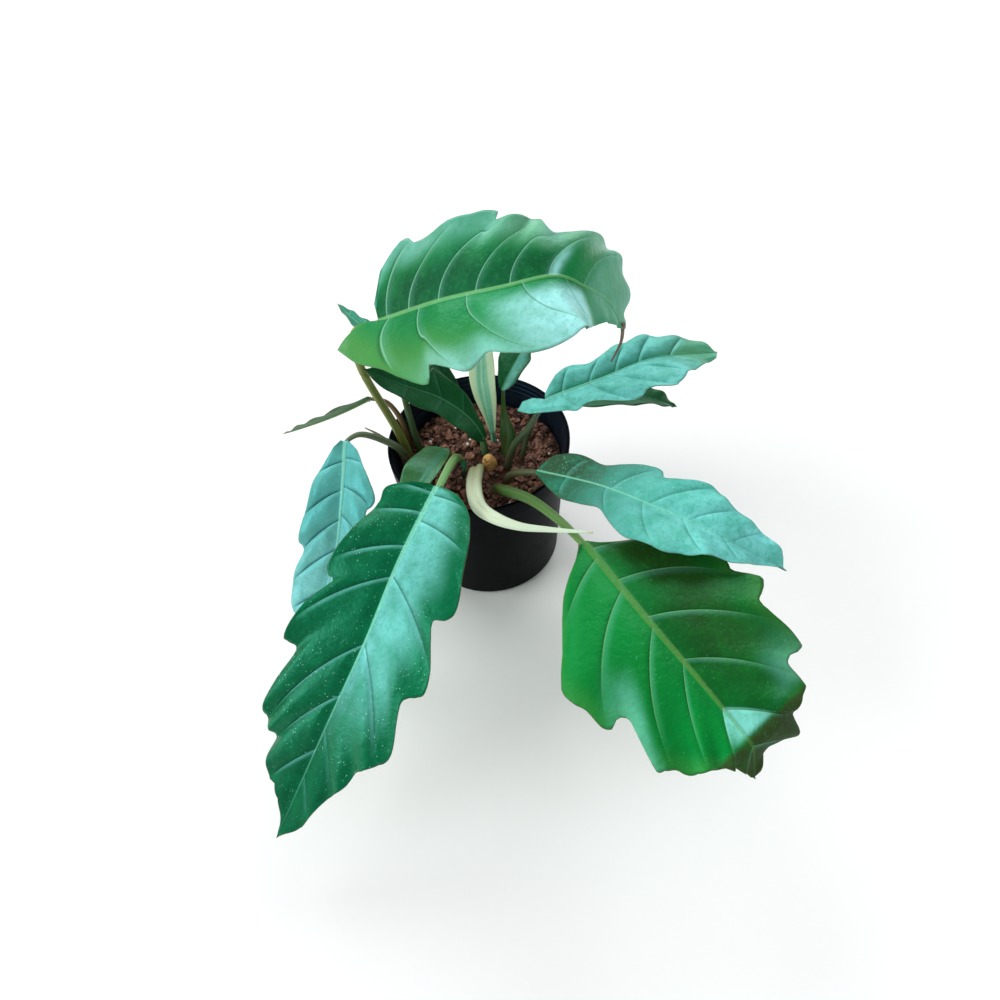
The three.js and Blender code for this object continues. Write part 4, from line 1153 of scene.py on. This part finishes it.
def stalk_mesh(leaf):
    """Stalk that passes the blade's base and ends under its midrib."""
    foot, neck = leaf["thick"]
    sink = leaf["sink"]
    middle, _, _, up = spine_frames(leaf, np.array([0.0]))
    joint = middle - max(JOINT_DEPTH, sink * neck) * up
    end = spine_frames(leaf, np.array([STALK_END]))[0] - sink * (1.75 + 0.6 * neck) * up
    path = list(leaf["stalk"]) + [tuple(joint[0]), tuple(end[0])]
    radii = (foot, neck, STALK_END_RADIUS * neck)
    shape = sheathed if "sheath" in leaf else channelled
    return rod_mesh(path, radii, STALK_SIDES, STALK_RING_GAP, shape)


def leaf_piece(name, leaf):
    """Blade and stalk in one mesh, and at the tip of one leaf a dry tail."""
    green = GREENS[leaf["green"]]
    verts, faces, fields, indices = blade_mesh(leaf)
    fields.update({key: np.zeros(len(verts)) for key in ROD_FIELDS})
    rods = [stalk_mesh(leaf)]
    if "tail" in leaf:
        rods.append(rod_mesh(leaf["tail"], TAIL_RADII, TAIL_SIDES, STALK_RING_GAP))
    for kind, (more, rod_faces, rod_fields) in enumerate(rods, 2):
        start = len(verts)
        verts = np.concatenate([verts, more])
        faces += [tuple(v + start for v in face) for face in rod_faces]
        indices += [kind] * len(rod_faces)
        for key in fields:
            extra = rod_fields.get(key, np.zeros(len(more)))
            fields[key] = np.concatenate([fields[key], extra])
    fields.update(painted(name, fields))
    materials = [
        leaf_material(name + "_face", green),
        underside_material(name + "_back", green),
        stalk_material(name + "_stalk", *leaf["tones"], green["rib"]),
        fibre_material(),
    ]
    piece = new_object(name + "_fine", verts, faces, materials)
    set_material_index(piece, indices)
    set_fields(piece, {key: fields[key] for key in SHOWN_FIELDS})
    return dress(piece, name)


# Pot and soil

def rounded(profile, radius, steps=4):
    """Profile with each corner between straight stretches rounded."""
    points = [np.array(p, float) for p in profile]
    out = [points[0]]
    for a, b, c in zip(points, points[1:], points[2:]):
        before = a - b
        after = c - b
        cut = min(radius, 0.45 * np.linalg.norm(before), 0.45 * np.linalg.norm(after))
        start = b + unit(before) * cut
        end = b + unit(after) * cut
        for k in range(steps + 1):
            q = k / steps
            out.append((1 - q) ** 2 * start + 2 * q * (1 - q) * b + q * q * end)
    out.append(points[-1])
    return out


def pot_profile():
    """Up the outside from the middle of the base, over the lip and down the inside."""
    inner = RIM_RADIUS - WALL - 0.6
    outside = [
        (0, 0.3), (FOOT_RADIUS - 5, 0.3), (FOOT_RADIUS - 4, 0), (FOOT_RADIUS - 2, 0),
        (FOOT_RADIUS, 2), (SHOULDER - 0.3, BAND_FOOT - 1.5), (RIM_RADIUS - 0.4, BAND_FOOT),
    ]
    lip = [
        (RIM_RADIUS, POT_HEIGHT - 2.4), (RIM_RADIUS, POT_HEIGHT - 0.6), (RIM_RADIUS - 0.6, POT_HEIGHT),
        (inner + 0.5, POT_HEIGHT), (inner, POT_HEIGHT - 0.8),
    ]
    ridges = []
    step = (RIM_BAND - 3) / RIDGE_COUNT
    for k in range(RIDGE_COUNT):
        top = POT_HEIGHT - 1.6 - k * step
        deep = inner - RIDGE_DEPTH * (k + 1)
        ridges += [(inner - RIDGE_DEPTH * k, top), (deep, top - 0.2 * step), (deep, top - 0.8 * step)]
    inside = [
        (SHOULDER - WALL - 0.4, BAND_FOOT - 0.4), (FOOT_RADIUS - WALL - 0.2, FLOOR + 1.5),
        (FOOT_RADIUS - WALL - 1.8, FLOOR), (0, FLOOR),
    ]
    return rounded(outside + lip + ridges + inside, CORNER_RADIUS)


def is_inside(r, z):
    """Whether a point of the pot's skin is on its inner wall."""
    if z > BAND_FOOT - 1:
        return r < RIM_RADIUS - 1.6
    outside = FOOT_RADIUS + (SHOULDER - FOOT_RADIUS) * z / BAND_FOOT
    return z > FLOOR + 1 and r < outside - 0.8


def drain_cutter():
    """Upright rods where the drain holes go."""
    shape = bmesh.new()
    radius = DRAIN_RADIUS * MM
    for k in range(DRAIN_COUNT):
        angle = TURN * (k + 0.5) / DRAIN_COUNT
        middle = Vector((math.cos(angle), math.sin(angle), 0)) * DRAIN_CIRCLE * MM
        bmesh.ops.create_cone(
            shape, cap_ends=True, segments=DRAIN_SEGMENTS, radius1=radius, radius2=radius,
            depth=4 * FLOOR * MM, matrix=Matrix.Translation(middle),
        )
    mesh = bpy.data.meshes.new("drains")
    shape.to_mesh(mesh)
    shape.free()
    return added("drains", mesh)


def drill_drains(pot):
    """Cuts the drain holes through the pot's floor, and keeps the level faces flat."""
    cutter = drain_cutter()
    cut = pot.modifiers.new("drains", "BOOLEAN")
    cut.operation = "DIFFERENCE"
    cut.solver = "EXACT"
    cut.object = cutter
    drilled = pot.evaluated_get(bpy.context.evaluated_depsgraph_get())
    mesh = bpy.data.meshes.new_from_object(drilled)
    pot.modifiers.clear()
    pot.data = mesh
    # Removing its mesh removes the cutter too
    bpy.data.meshes.remove(cutter.data)
    floor = (FLOOR + 0.1) * MM
    for face in mesh.polygons:
        top = max(mesh.vertices[v].co.z for v in face.vertices)
        if abs(face.normal.z) > 0.99 or top <= floor:
            face.use_smooth = False


def make_pot():
    profile = pot_profile()
    rings = [circle(r, z, POT_SEGMENTS) for r, z in profile[1:-1]]
    verts, faces = capped(rings, (0, 0, profile[0][1]), (0, 0, profile[-1][1]))
    pot = new_object("pot_fine", verts, faces, [pot_material(), inner_wall_material()])
    drill_drains(pot)
    places = [v.co / MM for v in pot.data.vertices]
    inside = [is_inside(math.hypot(p.x, p.y), p.z) for p in places]
    set_fields(pot, {"inside": inside})
    set_material_index(pot, [all(inside[v] for v in face.vertices) for face in pot.data.polygons])
    return dress(pot, "pot")


def soil_height(x, y):
    share = min(math.hypot(x, y) / MOUND_RADIUS, 1)
    mound = SOIL_MOUND * (1 - share * share)
    lumps = math.sin(0.31 * x + 1.3) * math.cos(0.27 * y) + 0.6 * math.sin(0.53 * y - 0.4 * x)
    return SOIL_EDGE_HEIGHT + mound + 0.9 * lumps * (1 - 0.5 * share)


def make_soil():
    """Bed of fine soil under the loose chips."""
    verts = [(0.0, 0.0, soil_height(0, 0))]
    for i in range(1, BED_RINGS + 1):
        for x, y, _ in circle(BED_RADIUS * i / BED_RINGS, 0, BED_SECTORS):
            rough = noise.fractal(Vector((x, y, 3.0)) * 0.45, 0.6, 2.2, 4)
            verts.append((x, y, soil_height(x, y) - 0.9 + 1.1 * rough))
    verts += circle(SOIL_FOOT_RADIUS, SOIL_FOOT, BED_SECTORS) + [(0.0, 0.0, SOIL_FOOT)]
    faces = []
    for k in range(BED_SECTORS):
        a = 1 + k
        b = 1 + (k + 1) % BED_SECTORS
        faces.append((0, a, b))
        for _ in range(BED_RINGS):
            faces.append((a, a + BED_SECTORS, b + BED_SECTORS, b))
            a += BED_SECTORS
            b += BED_SECTORS
        faces.append((len(verts) - 1, b, a))
    bed = new_object("soil_bed", verts, faces, [soil_material()])
    return dress(bed, "soil")


def rough_ball():
    """Twenty-sided ball with each face split into four: points and faces."""
    verts = [np.array((0, 0, 1), float)]
    for turn, height in ((0, BALL_UP), (0.5, -BALL_UP)):
        angles = [(k + turn) * FIFTH_TURN for k in range(5)]
        verts += [np.array((BALL_OUT * math.cos(a), BALL_OUT * math.sin(a), height)) for a in angles]
    verts.append(np.array((0, 0, -1), float))
    pairs = [(k, (k + 1) % 5) for k in range(5)]
    coarse = [(0, 1 + k, 1 + n) for k, n in pairs] + [(1 + k, 6 + k, 1 + n) for k, n in pairs]
    coarse += [(1 + n, 6 + k, 6 + n) for k, n in pairs] + [(11, 6 + n, 6 + k) for k, n in pairs]
    middles = {}
    faces = []

    def middle(a, b):
        key = (min(a, b), max(a, b))
        if key not in middles:
            middles[key] = len(verts)
            verts.append(unit(verts[a] + verts[b]))
        return middles[key]

    for a, b, c in coarse:
        ab, bc, ca = middle(a, b), middle(b, c), middle(c, a)
        faces += [(a, ab, ca), (ab, b, bc), (ca, bc, c), (ab, bc, ca)]
    return np.array(verts), faces


def stem_feet():
    feet = [(leaf["stalk"][0], leaf["thick"][0]) for leaf in LEAVES.values()]
    feet += [(part["path"][0], part["radii"][0]) for part in (CATAPHYLL, STRAND, STUB)]
    return [(foot[0], foot[1], radius) for foot, radius in feet]


def scatter(rng, count, low, high):
    """Seeded places on the soil, clear of the stems: x, y and size."""
    feet = stem_feet()
    found = []
    while len(found) < count:
        angle = rng.uniform(0, TURN)
        r = LITTER_RADIUS * math.sqrt(rng.random())
        size = rng.uniform(low, high)
        x, y = r * math.cos(angle), r * math.sin(angle)
        clear = all(math.hypot(x - fx, y - fy) > fr + 0.7 * size for fx, fy, fr in feet)
        if r + size < LITTER_RADIUS and clear:
            found.append((x, y, size))
    return found


def lump_piece(name, lumps, material):
    """Many small lumps lying on the soil, fused in one mesh."""
    rng = random.Random(lumps["seed"])
    rough = lumps["rough"]
    ball, ball_faces = rough_ball()
    verts = []
    faces = []
    tones = []
    for x, y, size in scatter(rng, lumps["count"], *lumps["sizes"]):
        shape = np.array([rng.uniform(*lumps["stretch"]) for _ in range(2)] + [rng.uniform(0.5, 0.9)])
        offset = np.array([rng.uniform(-50, 50) for _ in range(3)])
        bumps = np.array([noise.noise(Vector(v * 1.7 + offset)) for v in ball])
        sharp = np.array([noise.noise(Vector(v * 4.0 + offset)) for v in ball])
        lump = ball * (1 + rough * bumps + 0.5 * rough * sharp)[:, None] * shape * size
        turn = Matrix.Rotation(rng.uniform(0, 6.28), 3, "Z")
        for axis in ("X", "Y"):
            turn = turn @ Matrix.Rotation(rng.uniform(-0.7, 0.7), 3, axis)
        start = len(verts)
        verts += list(lump @ np.array(turn).T + (x, y, soil_height(x, y) + lumps["lift"] * size))
        faces += [tuple(v + start for v in face) for face in ball_faces]
        tones += [rng.random()] * len(lump)
    piece = new_object(name, verts, faces, [material], smooth=False)
    set_fields(piece, {"tone": tones})
    return dress(piece, None)


# Stage

def make_camera():
    data = bpy.data.cameras.new("camera")
    data.lens = CAMERA_LENS
    data.sensor_width = SENSOR_WIDTH
    data.clip_start = 0.01
    data.clip_end = 20.0
    camera = added("camera", data)
    aim = Matrix.Rotation(math.radians(90 - CAMERA_PITCH), 4, "X")
    lean = Matrix.Rotation(-math.radians(CAMERA_ROLL), 4, "Z")
    camera.matrix_world = Matrix.Translation(Vector(CAMERA_PLACE) * MM) @ aim @ lean
    bpy.context.scene.camera = camera


def soft_light(name, toward, width, power, tint):
    """Broad even light from one direction; width is how large it looks, in degrees."""
    data = bpy.data.lights.new(name, "SUN")
    data.angle = math.radians(width)
    data.energy = power
    data.color = tint
    light = added(name, data)
    light.rotation_mode = "QUATERNION"
    light.rotation_quaternion = Vector(toward).to_track_quat("Z", "Y")


def make_floor():
    paint = Shader("floor_paint")
    paint.base = (0.94, 0.94, 0.94, 1.0)
    square = [(-1, -1), (1, -1), (1, 1), (-1, 1)]
    verts = [(STAGE_REACH * x, STAGE_REACH * y, -STAGE_DEPTH) for x, y in square]
    material = paint.finish(0.95, Specular_IOR_Level=0.05)
    new_object("floor", verts, [(0, 1, 2, 3)], [material], smooth=False)


def make_sky():
    """Pale surroundings that look bright but light the plant only softly."""
    world = bpy.data.worlds.new("studio")
    bpy.context.scene.world = world
    world.use_nodes = True
    nodes = world.node_tree.nodes
    background = nodes["Background"]
    background.inputs[0].default_value = (0.95, 0.98, 1.0, 1.0)
    level = nodes.new("ShaderNodeMapRange")
    level.inputs["To Min"].default_value = 0.22
    level.inputs["To Max"].default_value = 0.9
    seen = nodes.new("ShaderNodeLightPath").outputs["Is Camera Ray"]
    world.node_tree.links.new(seen, level.inputs["Value"])
    world.node_tree.links.new(level.outputs[0], background.inputs[1])


def make_lights():
    cool = (0.98, 1.0, 1.0)
    soft_light("left", (-0.83, -0.14, 0.54), 38, 1.8, cool)
    soft_light("back_left", (-0.36, 0.68, 0.62), 40, 1.3, cool)
    soft_light("back_right", (0.36, 0.7, 0.6), 40, 1.3, cool)
    soft_light("front", (0.1, -0.55, 0.83), 100, 0.7, (1.0, 1.0, 0.99))


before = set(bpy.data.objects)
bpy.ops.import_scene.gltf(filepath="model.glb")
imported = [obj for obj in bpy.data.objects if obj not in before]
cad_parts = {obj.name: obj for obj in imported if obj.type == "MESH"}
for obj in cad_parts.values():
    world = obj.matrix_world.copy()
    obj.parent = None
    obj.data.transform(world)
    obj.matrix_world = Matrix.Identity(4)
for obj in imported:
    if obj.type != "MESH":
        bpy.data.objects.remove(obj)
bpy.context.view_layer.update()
make_camera()
make_floor()
make_sky()
make_lights()
bpy.context.scene.view_settings.view_transform = "Standard"
make_pot()
make_soil()
lump_piece("soil_chips", CHIPS, chip_material())
lump_piece("soil_perlite", PERLITE, perlite_material())
rod_piece("cataphyll_fine", CATAPHYLL, flattened, sheath_material(), "cataphyll")
rod_piece("stalk_stub_fine", STUB, knobbly, stub_material(), "stalk_stub")
rod_piece("dry_strand_fine", STRAND, knobbly, fibre_material(), "dry_strand")
for leaf_name, own_leaf in LEAVES.items():
    leaf_piece(leaf_name, own_leaf)
